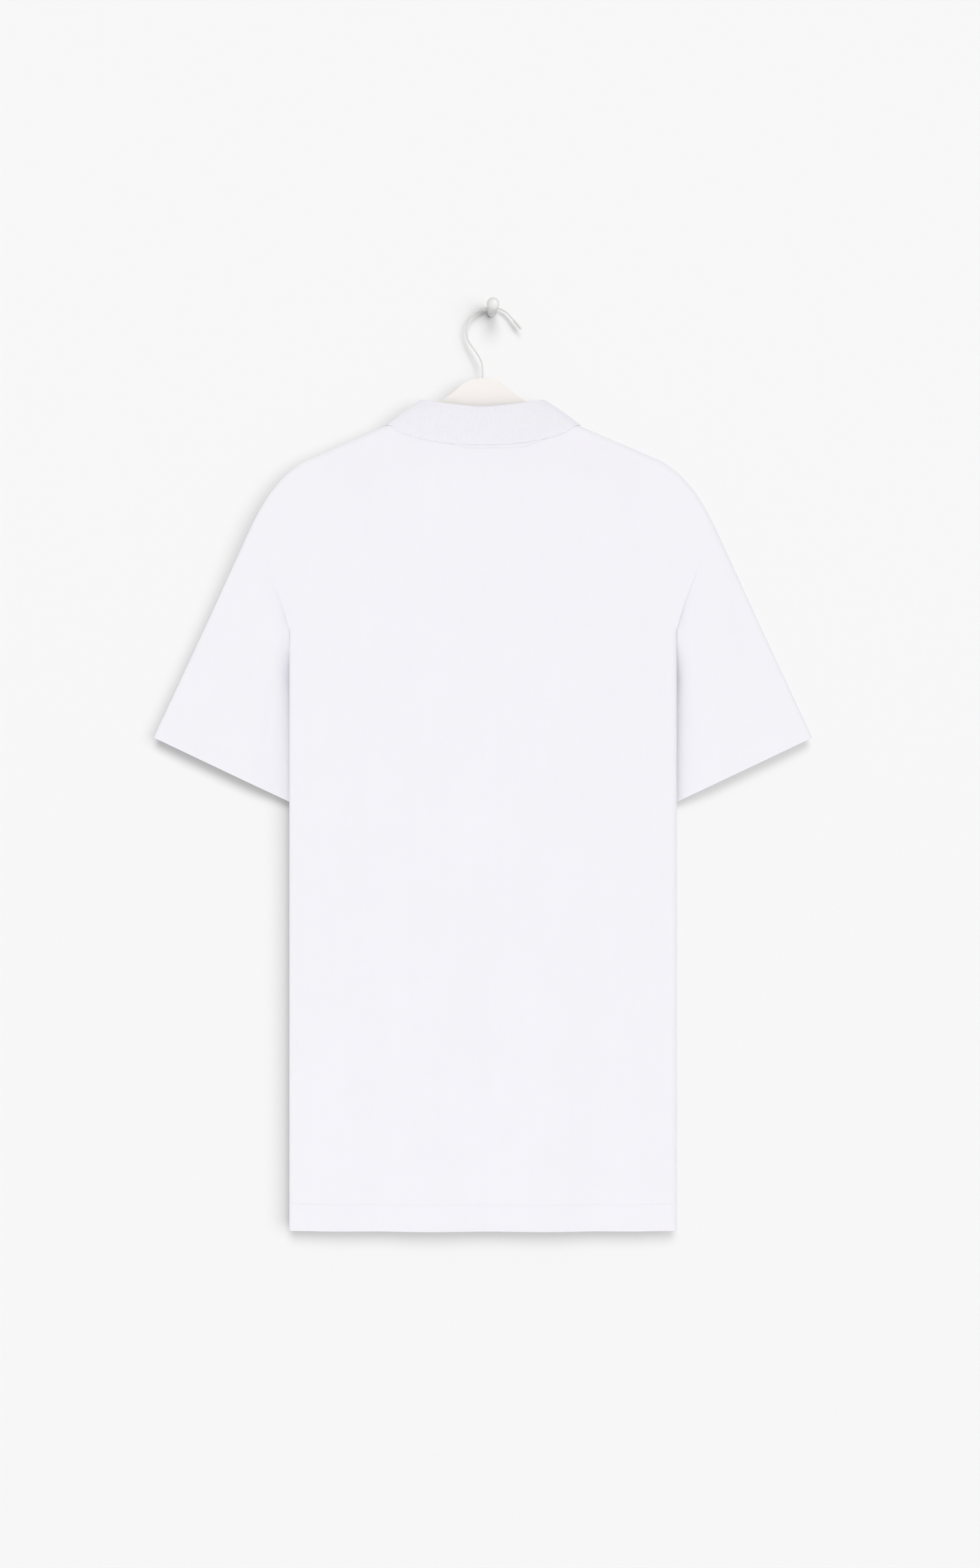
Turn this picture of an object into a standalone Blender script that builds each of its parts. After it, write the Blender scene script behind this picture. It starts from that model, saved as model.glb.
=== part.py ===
"""Short-sleeve polo shirt that hangs, back outwards, on a flat hanger and a wall knob.

Metres, +Z up. Seen by someone who faces the wall, +X is right and +Y goes into the wall.
The origin is the centre of the knob's round back face, which lies on the wall at y = 0.
The sizes below are in millimetres and are scaled once, where a mesh or a curve is made.
Run it in Blender 4.5: blender --background --python part.py
"""

import math

import bmesh
import bpy
from mathutils import Vector

MM = 0.001

# ---- the whole garment ----
CENTRE_X = -10.0  # the garment's centre line, beside the knob's axis
MIDDLE_Y = -20.5  # the plane half-way between back and front
HEM_Z = -1073.0
BODY_HALF_WIDTH = 225.5
CLOTH = 1.5
HEM_CLOTH = 2.3  # two layers where the edge is turned up
HEM_DEPTH = 31.5
SEAM_GAP = 0.5

# ---- shoulder and armhole, on the right half ----
NECK_POINT = (105.0, -133.2)
SHOULDER_SLOPE = math.radians(23.4)
SHOULDER_STRAIGHT = 105.5  # from the neck point to where the shoulder begins to fall
SHOULDER_END = (269.5, -253.0)
SLEEVE_HANG = math.radians(24.98)  # the sleeve's outer edge, from plumb
ARMHOLE_BEND_Z = -357.0
ARMPIT_Z = -375.7

# ---- neckline ----
NECK_BACK_DROP = 24.8
NECK_BACK_ROUND = 0.834
NECK_FRONT_DROP = 91.8
NECK_FRONT_ROUND = 0.98

# ---- depth of the hanging cloth, from the middle plane ----
EDGE_DEPTH = 6.5
EDGE_ROUND = 6.0
SHOULDER_ROUND = 7.0
ARMPIT_ROUND = 8.0
SWELL = {-1: 6.5, 1: 5.0}
NECK_SWELL = {-1: 4.0, 1: 1.5}
HEM_FLATTEN = 0.35

# ---- sleeve ----
CUFF_OUTER = (384.3, -499.4)
CUFF_WIDTH = 205.0
CUFF_SLOPE = math.radians(25.4)
CUFF_HEM = 22.0
SLEEVE_SEAM = 0.5
SLEEVE_EDGE_DEPTH = 4.5  # half depth at the outer fold, which is also its radius
SLEEVE_SWELL = 1.8
UNDERARM_ROUND = 3.2
UNDERARM_THIN = 0.5  # the share of that depth that is left at the fold under the arm
SLEEVE_SET_BACK = 5.5  # towards the wall, at the cuff
TUCK = 13.0  # towards the wall, where the sleeve passes behind the body
TUCKED_BY = 0.34  # the share of the sleeve's length at which it is all behind
CLEAR_OF_BODY = 0.8

# ---- placket and buttons ----
SLIT_HALF = 1.5
PLACKET_LENGTH = 152.0
PLACKET_HALF = 16.0
PLACKET_GAP = 0.4
PLACKET_BELOW_NECK = 1.2
SLIT_SHORTER = 6.0  # so that the placket covers the slit's end
BUTTON_RADIUS = 5.6
BUTTON_THICK = 2.2
BUTTON_DROPS = (17.0, 68.0, 119.0)

# ---- collar ----
COLLAR_CLOTH = 1.6
FOLD_HALF_WIDTH = 70.0
FOLD_BACK_Z = -118.6
FOLD_SIDE_Z = -109.8
FOLD_FRONT_Z = -211.0
FOLD_ROUND = 1.75
FOLD_DEPTH = 15.0
COLLAR_POINT = (43.0, -281.0)
LEAF_OVERHANG = 8.0
LEAF_BELOW_SEAM = 3.0
LEAF_LIFT = 2.3
LEAF_OVER_PLACKET = 1.8
LEAF_BELOW_SHOULDER = 0.25
COLLAR_SEAM_LIFT = 1.1  # the stand's edge, above the neck edge
COLLAR_END = 0.985  # the share of the neck's half that the collar goes round

# ---- hanger, hook and knob ----
HANGER_THICK = 6.4
HANGER_EDGE = 2.4
HOOK_CENTRE = (-0.9, -24.0)
HOOK_RADIUS = 28.8
HOOK_TOP_Y = -7.0
HOOK_STRAIGHTENS = 38  # degrees above level, where the tail leaves the round
HOOK_TAIL = 18.8
WIRE_RADIUS = 1.0
TIP_LENGTH = 12.8
HANGER_TOP_Z = -81.8
HANGER_ARM_END = (203.0, -191.4)
HANGER_ARM_RADIUS = 11.0
HANGER_IN_SHOULDER = 3.2  # how far below the shoulder fold the arm runs
STEM_X = CENTRE_X - 0.5
TIP_BORE = 0.35
TIP_WALL = 0.55
TIP_COVER = 1.2

# The hanger's right half: its hump above the collar, and its lower edge.
HANGER_COLUMNS = ("x", "z")
HANGER_HUMP = (
    (0.0, HANGER_TOP_Z),
    (9.0, -82.6),
    (18.0, -86.6),
    (30.0, -94.6),
    (48.0, -106.4),
    (100.0, -134.4),
)
HANGER_LOWER_EDGE = (
    (170.0, -191.0),
    (130.0, -175.0),
    (90.0, -158.0),
    (50.0, -141.0),
    (20.0, -130.0),
    (0.0, -127.0),
)

# Soft vertical folds: where they run, how wide they are, how far they stand out, and where they fade out.
FOLD_COLUMNS = ("x", "half_width", "out", "top_z")
BACK_FOLDS = (
    (-172.0, 30.0, 1.6, -430.0),
    (-118.0, 26.0, -1.3, -560.0),
    (-62.0, 34.0, 1.4, -640.0),
    (8.0, 30.0, -1.2, -520.0),
    (74.0, 36.0, 1.3, -700.0),
    (128.0, 24.0, -1.4, -600.0),
    (180.0, 28.0, 1.5, -470.0),
)
FRONT_FOLDS = (
    (-165.0, 30.0, 1.4, -470.0),
    (-100.0, 30.0, -1.3, -600.0),
    (-36.0, 32.0, 1.5, -540.0),
    (40.0, 34.0, -1.2, -620.0),
    (104.0, 28.0, 1.3, -520.0),
    (166.0, 30.0, -1.2, -600.0),
)


def smooth(value):
    """Rises from 0 to 1 with level ends."""
    value = min(max(value, 0.0), 1.0)
    return value * value * (3 - 2 * value)


def rounded(value):
    """A quarter circle: 0 at the edge, with an upright start, to 1."""
    value = min(max(value, 0.0), 1.0)
    return math.sqrt(1 - (1 - value) ** 2)


def mix(first, second, share):
    return first + (second - first) * share


def curve_through(start, bend, end, share):
    """A point of the quadratic curve that leaves start and reaches end towards bend."""
    weights = ((1 - share) ** 2, 2 * share * (1 - share), share**2)
    return tuple(
        sum(weight * point[axis] for weight, point in zip(weights, (start, bend, end)))
        for axis in (0, 1)
    )


def share_at(start, bend, end, value):
    """The share of such a curve, on one axis, at which it passes a value."""
    square = start - 2 * bend + end
    slope = 2 * (bend - start)
    root = math.sqrt(max(slope**2 - 4 * square * (start - value), 0.0))
    if abs(square) < 1e-9:
        return (value - start) / slope
    shares = ((-slope - root) / (2 * square), (-slope + root) / (2 * square))
    return min(max(min(shares, key=lambda share: abs(share - 0.5)), 0.0), 1.0)


# ---- the garment's outline ----
SHOULDER_TURN = (
    NECK_POINT[0] + SHOULDER_STRAIGHT * math.cos(SHOULDER_SLOPE),
    NECK_POINT[1] - SHOULDER_STRAIGHT * math.sin(SHOULDER_SLOPE),
)


def shoulder_corner():
    """Where the straight shoulder and the sleeve's outer edge would meet."""
    run = SHOULDER_END[0] - SHOULDER_TURN[0]
    fall = SHOULDER_TURN[1] - SHOULDER_END[1]
    steep = 1 / math.tan(SLEEVE_HANG)
    gentle = math.tan(SHOULDER_SLOPE)
    across = (steep * run - fall) / (steep - gentle)
    return SHOULDER_TURN[0] + across, SHOULDER_TURN[1] - across * gentle


SHOULDER_CORNER = shoulder_corner()
ARMPIT = (BODY_HALF_WIDTH, ARMPIT_Z)
ARMHOLE_BEND = (BODY_HALF_WIDTH, ARMHOLE_BEND_Z)


def shoulder_z(x):
    """Height of the shoulder fold, level inside the neck."""
    if x <= NECK_POINT[0]:
        return NECK_POINT[1]
    if x <= SHOULDER_TURN[0]:
        return NECK_POINT[1] - (x - NECK_POINT[0]) * math.tan(SHOULDER_SLOPE)
    bend = (SHOULDER_TURN, SHOULDER_CORNER, SHOULDER_END)
    share = share_at(*(point[0] for point in bend), x)
    return curve_through(*bend, share)[1]


def shoulder_tilt(x):
    """Cosine of the shoulder fold's slope."""
    return 1 / math.hypot(1, (shoulder_z(x + 0.5) - shoulder_z(x - 0.5)))


def armhole(share):
    """Armhole seam from the shoulder's end (0) to the armpit (1)."""
    return curve_through(SHOULDER_END, ARMHOLE_BEND, ARMPIT, share)


def armhole_share(z):
    return share_at(SHOULDER_END[1], ARMHOLE_BEND[1], ARMPIT[1], z)


def side_x(z):
    """Half width of the body at a height: side fold, armhole, then shoulder end."""
    if z <= ARMPIT_Z:
        return BODY_HALF_WIDTH
    return armhole(armhole_share(min(z, SHOULDER_END[1])))[0]


def neck_z(x, side):
    """Height of the neckline on the back (side -1) or the front (side 1)."""
    drop, roundness = {
        -1: (NECK_BACK_DROP, NECK_BACK_ROUND),
        1: (NECK_FRONT_DROP, NECK_FRONT_ROUND),
    }[side]
    across = min(abs(x) / NECK_POINT[0], 1.0)
    rise = 1 - math.sqrt(1 - roundness * across**2)
    return NECK_POINT[1] - drop * (1 - rise / (1 - math.sqrt(1 - roundness)))


# ---- the hanging surface ----
def drape(x, z, side):
    """How far the folds stand out of the panel, away from the middle plane."""
    total = 0.0
    for row in BACK_FOLDS if side < 0 else FRONT_FOLDS:
        fold = dict(zip(FOLD_COLUMNS, row))
        ridge = math.exp(-(((x - fold["x"]) / fold["half_width"]) ** 2))
        total += fold["out"] * ridge * smooth((fold["top_z"] - z) / 300)
    return total * smooth((BODY_HALF_WIDTH - abs(x)) / 45)


def depth_at(x, z, side):
    """Distance of the panel's outer face from the middle plane."""
    across = abs(x)
    below = (shoulder_z(across) - z) * shoulder_tilt(across)
    inside = side_x(z) - across
    is_open = rounded((z - ARMPIT_Z) / ARMPIT_ROUND)
    flat = 1 - HEM_FLATTEN * smooth((ARMPIT_Z - z) / (ARMPIT_Z - HEM_Z))
    swell = SWELL[side] * smooth(inside / 150) * smooth(below / 70) * flat
    neck = NECK_SWELL[side] * math.exp(-((x / 75) ** 2) - (below / 90) ** 2)
    edge = is_open + (1 - is_open) * rounded(inside / EDGE_ROUND)
    depth = (EDGE_DEPTH + swell + neck + drape(x, z, side)) * edge
    return depth * rounded(below / SHOULDER_ROUND)


def on_panel(x, z, side, out=0.0):
    """A point of a panel's outer face, moved out by a distance."""
    depth = depth_at(x, z, side)
    return Vector((x, MIDDLE_Y + side * (SEAM_GAP / 2 + depth + out), z))


def off_panel(x, z, side, out):
    """A point of a panel's outer face, moved out square to the face."""
    step = 0.2
    across = on_panel(x + step, z, side) - on_panel(x - step, z, side)
    down = on_panel(x, z - step, side) - on_panel(x, z, side)
    normal = across.cross(down).normalized() * side
    return on_panel(x, z, side) + normal * out


# ---- making objects ----
def clear_scene():
    for obj in list(bpy.data.objects):
        bpy.data.objects.remove(obj, do_unlink=True)


def make_collection(name):
    collection = bpy.data.collections.new(name)
    bpy.context.scene.collection.children.link(collection)
    return collection


def make_material(name, colour, roughness):
    material = bpy.data.materials.new(name)
    material.use_nodes = True
    shader = material.node_tree.nodes["Principled BSDF"]
    shader.inputs["Base Color"].default_value = (*colour, 1.0)
    shader.inputs["Roughness"].default_value = roughness
    return material


def add_object(name, data, collection, colour, roughness):
    obj = bpy.data.objects.new(name, data)
    data.materials.append(make_material(name + "_finish", colour, roughness))
    collection.objects.link(obj)
    return obj


def normals_of(rows, closed):
    """Outward normals of a grid of points, by central differences."""
    height, width = len(rows), len(rows[0])
    result = []
    for i in range(height):
        line = []
        for j in range(width):
            left = rows[i][(j - 1) % width if closed else max(j - 1, 0)]
            right = rows[i][(j + 1) % width if closed else min(j + 1, width - 1)]
            above = rows[max(i - 1, 0)][j]
            below = rows[min(i + 1, height - 1)][j]
            line.append((right - left).cross(below - above).normalized())
        result.append(line)
    return result


def cloth_mesh(name, rows, thickness, closed=False, flat_edges=(), holes=()):
    """A wall of cloth under a grid of outer points. flat_edges are the grid places on a fold seam,
    where the wall goes straight in, and holes are the cells that are left out."""
    normals = normals_of(rows, closed)
    mesh = bmesh.new()
    outer, inner = [], []
    for i, line in enumerate(rows):
        outer.append([mesh.verts.new(point) for point in line])
        inner_line = []
        for j, point in enumerate(line):
            normal = normals[i][j]
            if (i, j) in flat_edges:
                normal = Vector((normal.x, 0, normal.z)).normalized()
            inner_line.append(mesh.verts.new(point - normal * thickness[i]))
        inner.append(inner_line)
    width = len(rows[0])
    rims = {}
    for i in range(len(rows) - 1):
        for j in range(width if closed else width - 1):
            if (i, j) in holes:
                continue
            cell = ((i, j), (i + 1, j), (i + 1, (j + 1) % width), (i, (j + 1) % width))
            mesh.faces.new([outer[a][b] for a, b in reversed(cell)])
            mesh.faces.new([inner[a][b] for a, b in cell])
            for start, end in zip(cell, cell[1:] + cell[:1]):
                if rims.pop((end, start), None) is None:
                    rims[(start, end)] = True
    for (a, b), (c, d) in rims:
        mesh.faces.new((outer[a][b], outer[c][d], inner[c][d], inner[a][b]))
    bmesh.ops.scale(mesh, vec=(MM, MM, MM), verts=mesh.verts)
    bmesh.ops.recalc_face_normals(mesh, faces=mesh.faces)
    data = bpy.data.meshes.new(name)
    mesh.to_mesh(data)
    mesh.free()
    data.shade_smooth()
    return data


def place_on_centre(rows):
    """Moves a grid of points from the garment's centre line to its place beside the knob."""
    return [[point + Vector((CENTRE_X, 0, 0)) for point in line] for line in rows]


def turned(name, profile, steps, collection, colour, roughness):
    """A solid turned about its own Z from (radius, height) pairs, top to bottom."""
    mesh = bmesh.new()
    points = [mesh.verts.new((radius * MM, 0, height * MM)) for radius, height in profile]
    for first, second in zip(points, points[1:]):
        mesh.edges.new((first, second))
    data = bpy.data.meshes.new(name)
    mesh.to_mesh(data)
    mesh.free()
    obj = add_object(name, data, collection, colour, roughness)
    screw = obj.modifiers.new("turn", "SCREW")
    screw.steps = screw.render_steps = steps
    screw.use_merge_vertices = True
    screw.merge_threshold = 0.00001
    screw.use_smooth_shade = True
    return obj


# ---- back and front panels ----
NECK_STEPS = (26, 52, 76, 93, 101.5, 104.4)
SHOULDER_STEPS = (105, 126, 149, 172, 194, 216, 236, 251, 262.3, 265.9, 268.6, 269.5)
ARMHOLE_FALLS = (0, 0.9, 3.2, 7, 14, 28, 46, 66, 86, 102, 114.7, 118.7, 121.6, SHOULDER_END[1] - ARMPIT_Z)
ARMPIT_FALLS = (130, 145)
LONG_ROWS = 10


def panel_columns(side):
    """Where the columns start on the top edge, from left to right."""
    right = [*NECK_STEPS, *SHOULDER_STEPS]
    if side < 0:
        return [-x for x in reversed(right)] + [0.0] + right
    return [-x for x in reversed(right)] + [-SLIT_HALF, SLIT_HALF] + right


def panel_levels():
    """Heights of the rows at the side edge, from the shoulder's end to the hem."""
    top = SHOULDER_END[1]
    levels = [top - fall for fall in (*ARMHOLE_FALLS, *ARMPIT_FALLS)]
    hem_line = HEM_Z + HEM_DEPTH
    first = levels[-1]
    for step in range(1, LONG_ROWS + 1):
        levels.append(mix(first, hem_line + 1.0, step / LONG_ROWS))
    return levels + [hem_line, HEM_Z]


def panel_top_z(x, side):
    across = abs(x)
    return neck_z(across, side) if across < NECK_POINT[0] else shoulder_z(across)


def panel(name, side, collection, colour):
    columns, levels = panel_columns(side), panel_levels()
    hem_line = HEM_Z + HEM_DEPTH
    rows, thickness, flat_edges, holes = [], [], set(), set()
    for i, level in enumerate(levels):
        in_hem = level <= hem_line
        out = (HEM_CLOTH - CLOTH) / 2 if in_hem else 0.0
        thickness.append(HEM_CLOTH if in_hem else CLOTH)
        line = []
        for j, start in enumerate(columns):
            x = start / SHOULDER_END[0] * side_x(level)
            top = panel_top_z(start, side)
            share = (SHOULDER_END[1] - level) / (SHOULDER_END[1] - HEM_Z)
            z = mix(top, HEM_Z, share)
            line.append(on_panel(x, z, side, out))
            on_side = j in (0, len(columns) - 1) and level <= ARMPIT_Z
            on_shoulder = i == 0 and abs(start) >= NECK_POINT[0]
            if on_side or on_shoulder:
                flat_edges.add((i, j))
        rows.append(line)
    if side > 0:
        middle = len(columns) // 2 - 1
        slit_end = neck_z(0, 1) - PLACKET_LENGTH + SLIT_SHORTER
        holes = {(i, middle) for i in range(len(rows) - 1) if rows[i + 1][middle].z > slit_end}
    if side < 0:
        last = len(columns) - 1
        rows = [line[::-1] for line in rows]
        flat_edges = {(i, last - j) for i, j in flat_edges}
    rows = place_on_centre(rows)
    data = cloth_mesh(name, rows, thickness, flat_edges=flat_edges, holes=holes)
    return add_object(name, data, collection, colour, 0.85)


# ---- sleeves ----
SLEEVE_WIDTHS = [armhole_share(SHOULDER_END[1] - fall) for fall in ARMHOLE_FALLS]
SLEEVE_LENGTHS = (0, 0.035, 0.08, 0.14, 0.2, 0.27, TUCKED_BY, 0.44, 0.56, 0.7, 0.84)


def cuff(share):
    """Cuff line from its outer corner (0) to the corner behind the body (1)."""
    run = CUFF_WIDTH * share
    return (
        CUFF_OUTER[0] - run * math.cos(CUFF_SLOPE),
        CUFF_OUTER[1] - run * math.sin(CUFF_SLOPE),
    )


def sleeve_start(share):
    """The armhole, moved off the panels' edges by the seam's gap."""
    x, z = armhole(share)
    ahead, behind = armhole(min(share + 0.01, 1.0)), armhole(max(share - 0.01, 0.0))
    run = Vector((ahead[0] - behind[0], ahead[1] - behind[1])).normalized()
    return x - run.y * SLEEVE_SEAM, z + run.x * SLEEVE_SEAM


def sleeve_point(width, length, layer):
    """A point of the sleeve: width 0 is its outer fold and 1 the fold under the arm, length goes from the
    armhole to the cuff, and layer is -1 on the back and 1 on the front."""
    start, end = sleeve_start(width), cuff(width)
    x, z = mix(start[0], end[0], length), mix(start[1], end[1], length)
    tuck = smooth((width - 0.5) / 0.3)
    if length <= TUCKED_BY:
        x = max(x, BODY_HALF_WIDTH + CLEAR_OF_BODY)
    middle = SLEEVE_SET_BACK * smooth(length / 0.5) * (1 - tuck)
    middle += TUCK * tuck * smooth(length / TUCKED_BY)
    across = math.dist(sleeve_start(0), sleeve_start(1))
    across = mix(across, CUFF_WIDTH, length)
    outer_end, inner_end = width * across, (1 - width) * across
    own = SLEEVE_EDGE_DEPTH * rounded(outer_end / SLEEVE_EDGE_DEPTH) + SLEEVE_SWELL * smooth(outer_end / 40)
    own *= rounded(inner_end / UNDERARM_ROUND) * mix(UNDERARM_THIN, 1.0, smooth(inner_end / 45))
    seam_x, seam_z = armhole(width)
    at_seam = depth_at(seam_x, seam_z, layer)
    depth = mix(at_seam, own, smooth(length / TUCKED_BY))
    return Vector((x, MIDDLE_Y + middle + layer * depth, z))


def sleeve(name, hand, collection, colour):
    """hand is 1 for the sleeve at +X and -1 for the one at -X."""
    length = math.dist(armhole(0), CUFF_OUTER)
    hem_start = 1 - CUFF_HEM / length
    lengths = (*SLEEVE_LENGTHS, hem_start - 0.006, hem_start, 1.0)
    ring = [(width, -1) for width in SLEEVE_WIDTHS]
    ring += [(width, 1) for width in reversed(SLEEVE_WIDTHS[1:-1])]
    rows, thickness = [], []
    for along in lengths:
        in_hem = along >= hem_start
        thickness.append(HEM_CLOTH if in_hem else CLOTH)
        line = []
        for width, layer in ring:
            point = sleeve_point(width, along, layer)
            line.append(Vector((point.x * hand, point.y, point.z)))
        rows.append(line if hand > 0 else line[::-1])
    data = cloth_mesh(name, place_on_centre(rows), thickness, closed=True)
    return add_object(name, data, collection, colour, 0.85)


# ---- collar ----
COLLAR_LEVELS = (0, 0.35, 0.7, 1.0)


def neck_point_at(angle):
    """The neck seam at an angle round the neck: 0 at the back, 90 on the shoulder, 180 in front."""
    side = -1 if angle < math.pi / 2 else 1
    x = NECK_POINT[0] * math.sin(angle)
    return on_panel(x, neck_z(x, side), side)


def fold_point_at(angle):
    """The collar's fold line."""
    x = FOLD_HALF_WIDTH * math.sin(angle)
    if angle <= math.pi / 2:
        z = mix(FOLD_BACK_Z, FOLD_SIDE_Z, math.sin(angle) ** 1.5)
    else:
        z = mix(FOLD_SIDE_Z, FOLD_FRONT_Z, math.sin(angle - math.pi / 2) ** 1.5)
    swing = math.cos(angle)
    return Vector((x, MIDDLE_Y - math.copysign(FOLD_DEPTH * abs(swing) ** 0.6, swing), z))


def leaf_point_at(angle):
    """The leaf's free edge, clear of what it lies on."""
    if angle <= math.pi / 2:
        neck = neck_point_at(angle)
        x = neck.x + LEAF_OVERHANG * math.sin(angle)
        z = neck.z - LEAF_BELOW_SEAM
        side = -1
    else:
        share = (angle - math.pi / 2) / (math.pi / 2)
        x = mix(NECK_POINT[0] + LEAF_OVERHANG, COLLAR_POINT[0], share**1.15)
        z = mix(NECK_POINT[1] - LEAF_BELOW_SEAM, COLLAR_POINT[1], smooth(share * 0.5) * 2)
        side = 1
    z = min(z, shoulder_z(x) - LEAF_BELOW_SHOULDER)
    over_placket = LEAF_OVER_PLACKET * smooth(angle - math.pi / 2)
    return off_panel(x, z, side, LEAF_LIFT + over_placket)


def collar_section(angle):
    """Middle line of the collar's cloth, from the neck seam over the fold to the leaf's edge."""
    seam, fold, leaf = neck_point_at(angle), fold_point_at(angle), leaf_point_at(angle)
    outward = Vector((0.57 * math.sin(angle), -math.cos(angle), 0.82 * math.sin(angle)))
    up = (fold - seam).normalized()
    outward = (outward - up * outward.dot(up)).normalized()
    half = COLLAR_CLOTH / 2
    seam = seam + up * COLLAR_SEAM_LIFT - outward * half
    top = fold - up * FOLD_ROUND - outward * FOLD_ROUND
    turn = top + outward * FOLD_ROUND
    points = [seam.lerp(top, level) for level in COLLAR_LEVELS]
    for step in (1, 2, 3):
        swing = math.pi * step / 4
        points.append(turn - outward * FOLD_ROUND * math.cos(swing) + up * FOLD_ROUND * math.sin(swing))
    start = turn + outward * FOLD_ROUND
    points += [start.lerp(leaf, level) for level in COLLAR_LEVELS]
    return points


def collar(collection, colour):
    quarter = [math.asin(step / NECK_POINT[0]) for step in (0, *NECK_STEPS)]
    angles = quarter + [math.pi / 2]
    angles += [math.pi - angle for angle in reversed(quarter[1:])] + [math.pi * COLLAR_END]
    half = [collar_section(angle) for angle in angles]
    other = [[Vector((-p.x, p.y, p.z)) for p in section] for section in half[1:]]
    rows = other[::-1] + half
    # The grid holds the middle line, so its outer face is half a wall further out.
    normals = normals_of(rows, False)
    rows = [
        [point + normal * COLLAR_CLOTH / 2 for point, normal in zip(line, directions)]
        for line, directions in zip(rows, normals)
    ]
    data = cloth_mesh("collar", place_on_centre(rows), [COLLAR_CLOTH] * len(rows))
    return add_object("collar", data, collection, colour, 0.9)


# ---- placket ----
def placket(name, out, collection, colour):
    """A strip along the slit, over the front (out > 0) or under it."""
    top = neck_z(0, 1) - PLACKET_BELOW_NECK
    levels = [top - PLACKET_LENGTH * step / 8 for step in range(9)]
    xs = [PLACKET_HALF * share for share in (-1, -0.5, 0, 0.5, 1)]
    rows = [[on_panel(x, z, 1, out) for x in xs] for z in levels]
    data = cloth_mesh(name, place_on_centre(rows), [CLOTH] * len(rows))
    return add_object(name, data, collection, colour, 0.85)


def button(name, drop, collection, colour):
    """A dished button, facing the wall."""
    z = neck_z(0, 1) - drop
    seat = on_panel(0, z, 1, PLACKET_GAP + CLOTH + PLACKET_GAP)
    rim, dish, thick = BUTTON_RADIUS, BUTTON_RADIUS * 0.66, BUTTON_THICK
    profile = (
        (0, thick * 0.62),
        (dish, thick * 0.62),
        (dish + 0.7, thick),
        (rim - 0.5, thick),
        (rim, thick * 0.6),
        (rim - 0.9, 0),
        (0, 0),
    )
    obj = turned(name, profile, 20, collection, colour, 0.3)
    obj.location = Vector((seat.x + CENTRE_X, seat.y, seat.z)) * MM
    obj.rotation_euler = (-math.pi / 2, 0, 0)
    return obj


# ---- hanger ----
def hanger_outline():
    """Right half of the outline, from the peak over the arm's end to the middle of the lower edge."""
    arm = [(x, shoulder_z(x) - HANGER_IN_SHOULDER) for x in (118, 150, 182)]
    end = [
        (
            HANGER_ARM_END[0] + HANGER_ARM_RADIUS * math.cos(math.radians(degrees)),
            HANGER_ARM_END[1] + HANGER_ARM_RADIUS * math.sin(math.radians(degrees)),
        )
        for degrees in (66, 35, 5, -30, -65, -100)
    ]
    return [*HANGER_HUMP, *arm, *end, *HANGER_LOWER_EDGE]


def hanger(collection, colour):
    half = hanger_outline()
    outline = half + [(-x, z) for x, z in reversed(half[1:-1])]
    mesh = bmesh.new()
    face = mesh.faces.new(
        [mesh.verts.new((x + CENTRE_X, MIDDLE_Y - HANGER_THICK / 2, z)) for x, z in outline]
    )
    grown = bmesh.ops.extrude_face_region(mesh, geom=[face])["geom"]
    far = [item for item in grown if isinstance(item, bmesh.types.BMVert)]
    bmesh.ops.translate(mesh, verts=far, vec=(0, HANGER_THICK, 0))
    bmesh.ops.scale(mesh, vec=(MM, MM, MM), verts=mesh.verts)
    bmesh.ops.recalc_face_normals(mesh, faces=mesh.faces)
    data = bpy.data.meshes.new("hanger")
    mesh.to_mesh(data)
    mesh.free()
    obj = add_object("hanger", data, collection, colour, 0.45)
    bevel = obj.modifiers.new("edge", "BEVEL")
    bevel.width = HANGER_EDGE * MM
    bevel.segments = 2
    bevel.angle_limit = math.radians(60)
    return obj


# ---- hook ----
def hook_y(z):
    """The wire leans towards the wall, from the hanger's plane to the knob's groove."""
    top = HOOK_CENTRE[1] + HOOK_RADIUS
    return mix(HOOK_TOP_Y, MIDDLE_Y, (top - z) / (top - HANGER_TOP_Z))


def on_hook(degrees):
    angle = math.radians(degrees)
    return (
        HOOK_CENTRE[0] + HOOK_RADIUS * math.cos(angle),
        HOOK_CENTRE[1] + HOOK_RADIUS * math.sin(angle),
    )


def hook_plan():
    """The wire in the wall's plane, from the hanger up to the free end."""
    points = [(STEM_X, HANGER_TOP_Z + 0.5), (STEM_X, -76.0), (STEM_X, -70.5)]
    points += [(STEM_X - 0.4, -66.2), (STEM_X - 1.9, -61.6)]
    points += [on_hook(degrees) for degrees in range(210, HOOK_STRAIGHTENS, -8)]
    last = math.radians(HOOK_STRAIGHTENS)
    start = on_hook(HOOK_STRAIGHTENS)
    for run in (1.0, 8.0, HOOK_TAIL):
        points.append((start[0] + math.sin(last) * run, start[1] - math.cos(last) * run))
    return points


def wire_points():
    return [Vector((x, hook_y(z), z)) for x, z in hook_plan()]


def hook(collection, colour):
    points = wire_points()
    curve = bpy.data.curves.new("hanger_hook", "CURVE")
    curve.dimensions = "3D"
    curve.bevel_depth = WIRE_RADIUS * MM
    curve.bevel_resolution = 2
    curve.use_fill_caps = True
    spline = curve.splines.new("POLY")
    spline.points.add(len(points) - 1)
    for slot, point in zip(spline.points, points):
        slot.co = (*(point * MM), 1)
    return add_object("hanger_hook", curve, collection, colour, 0.35)


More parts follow.
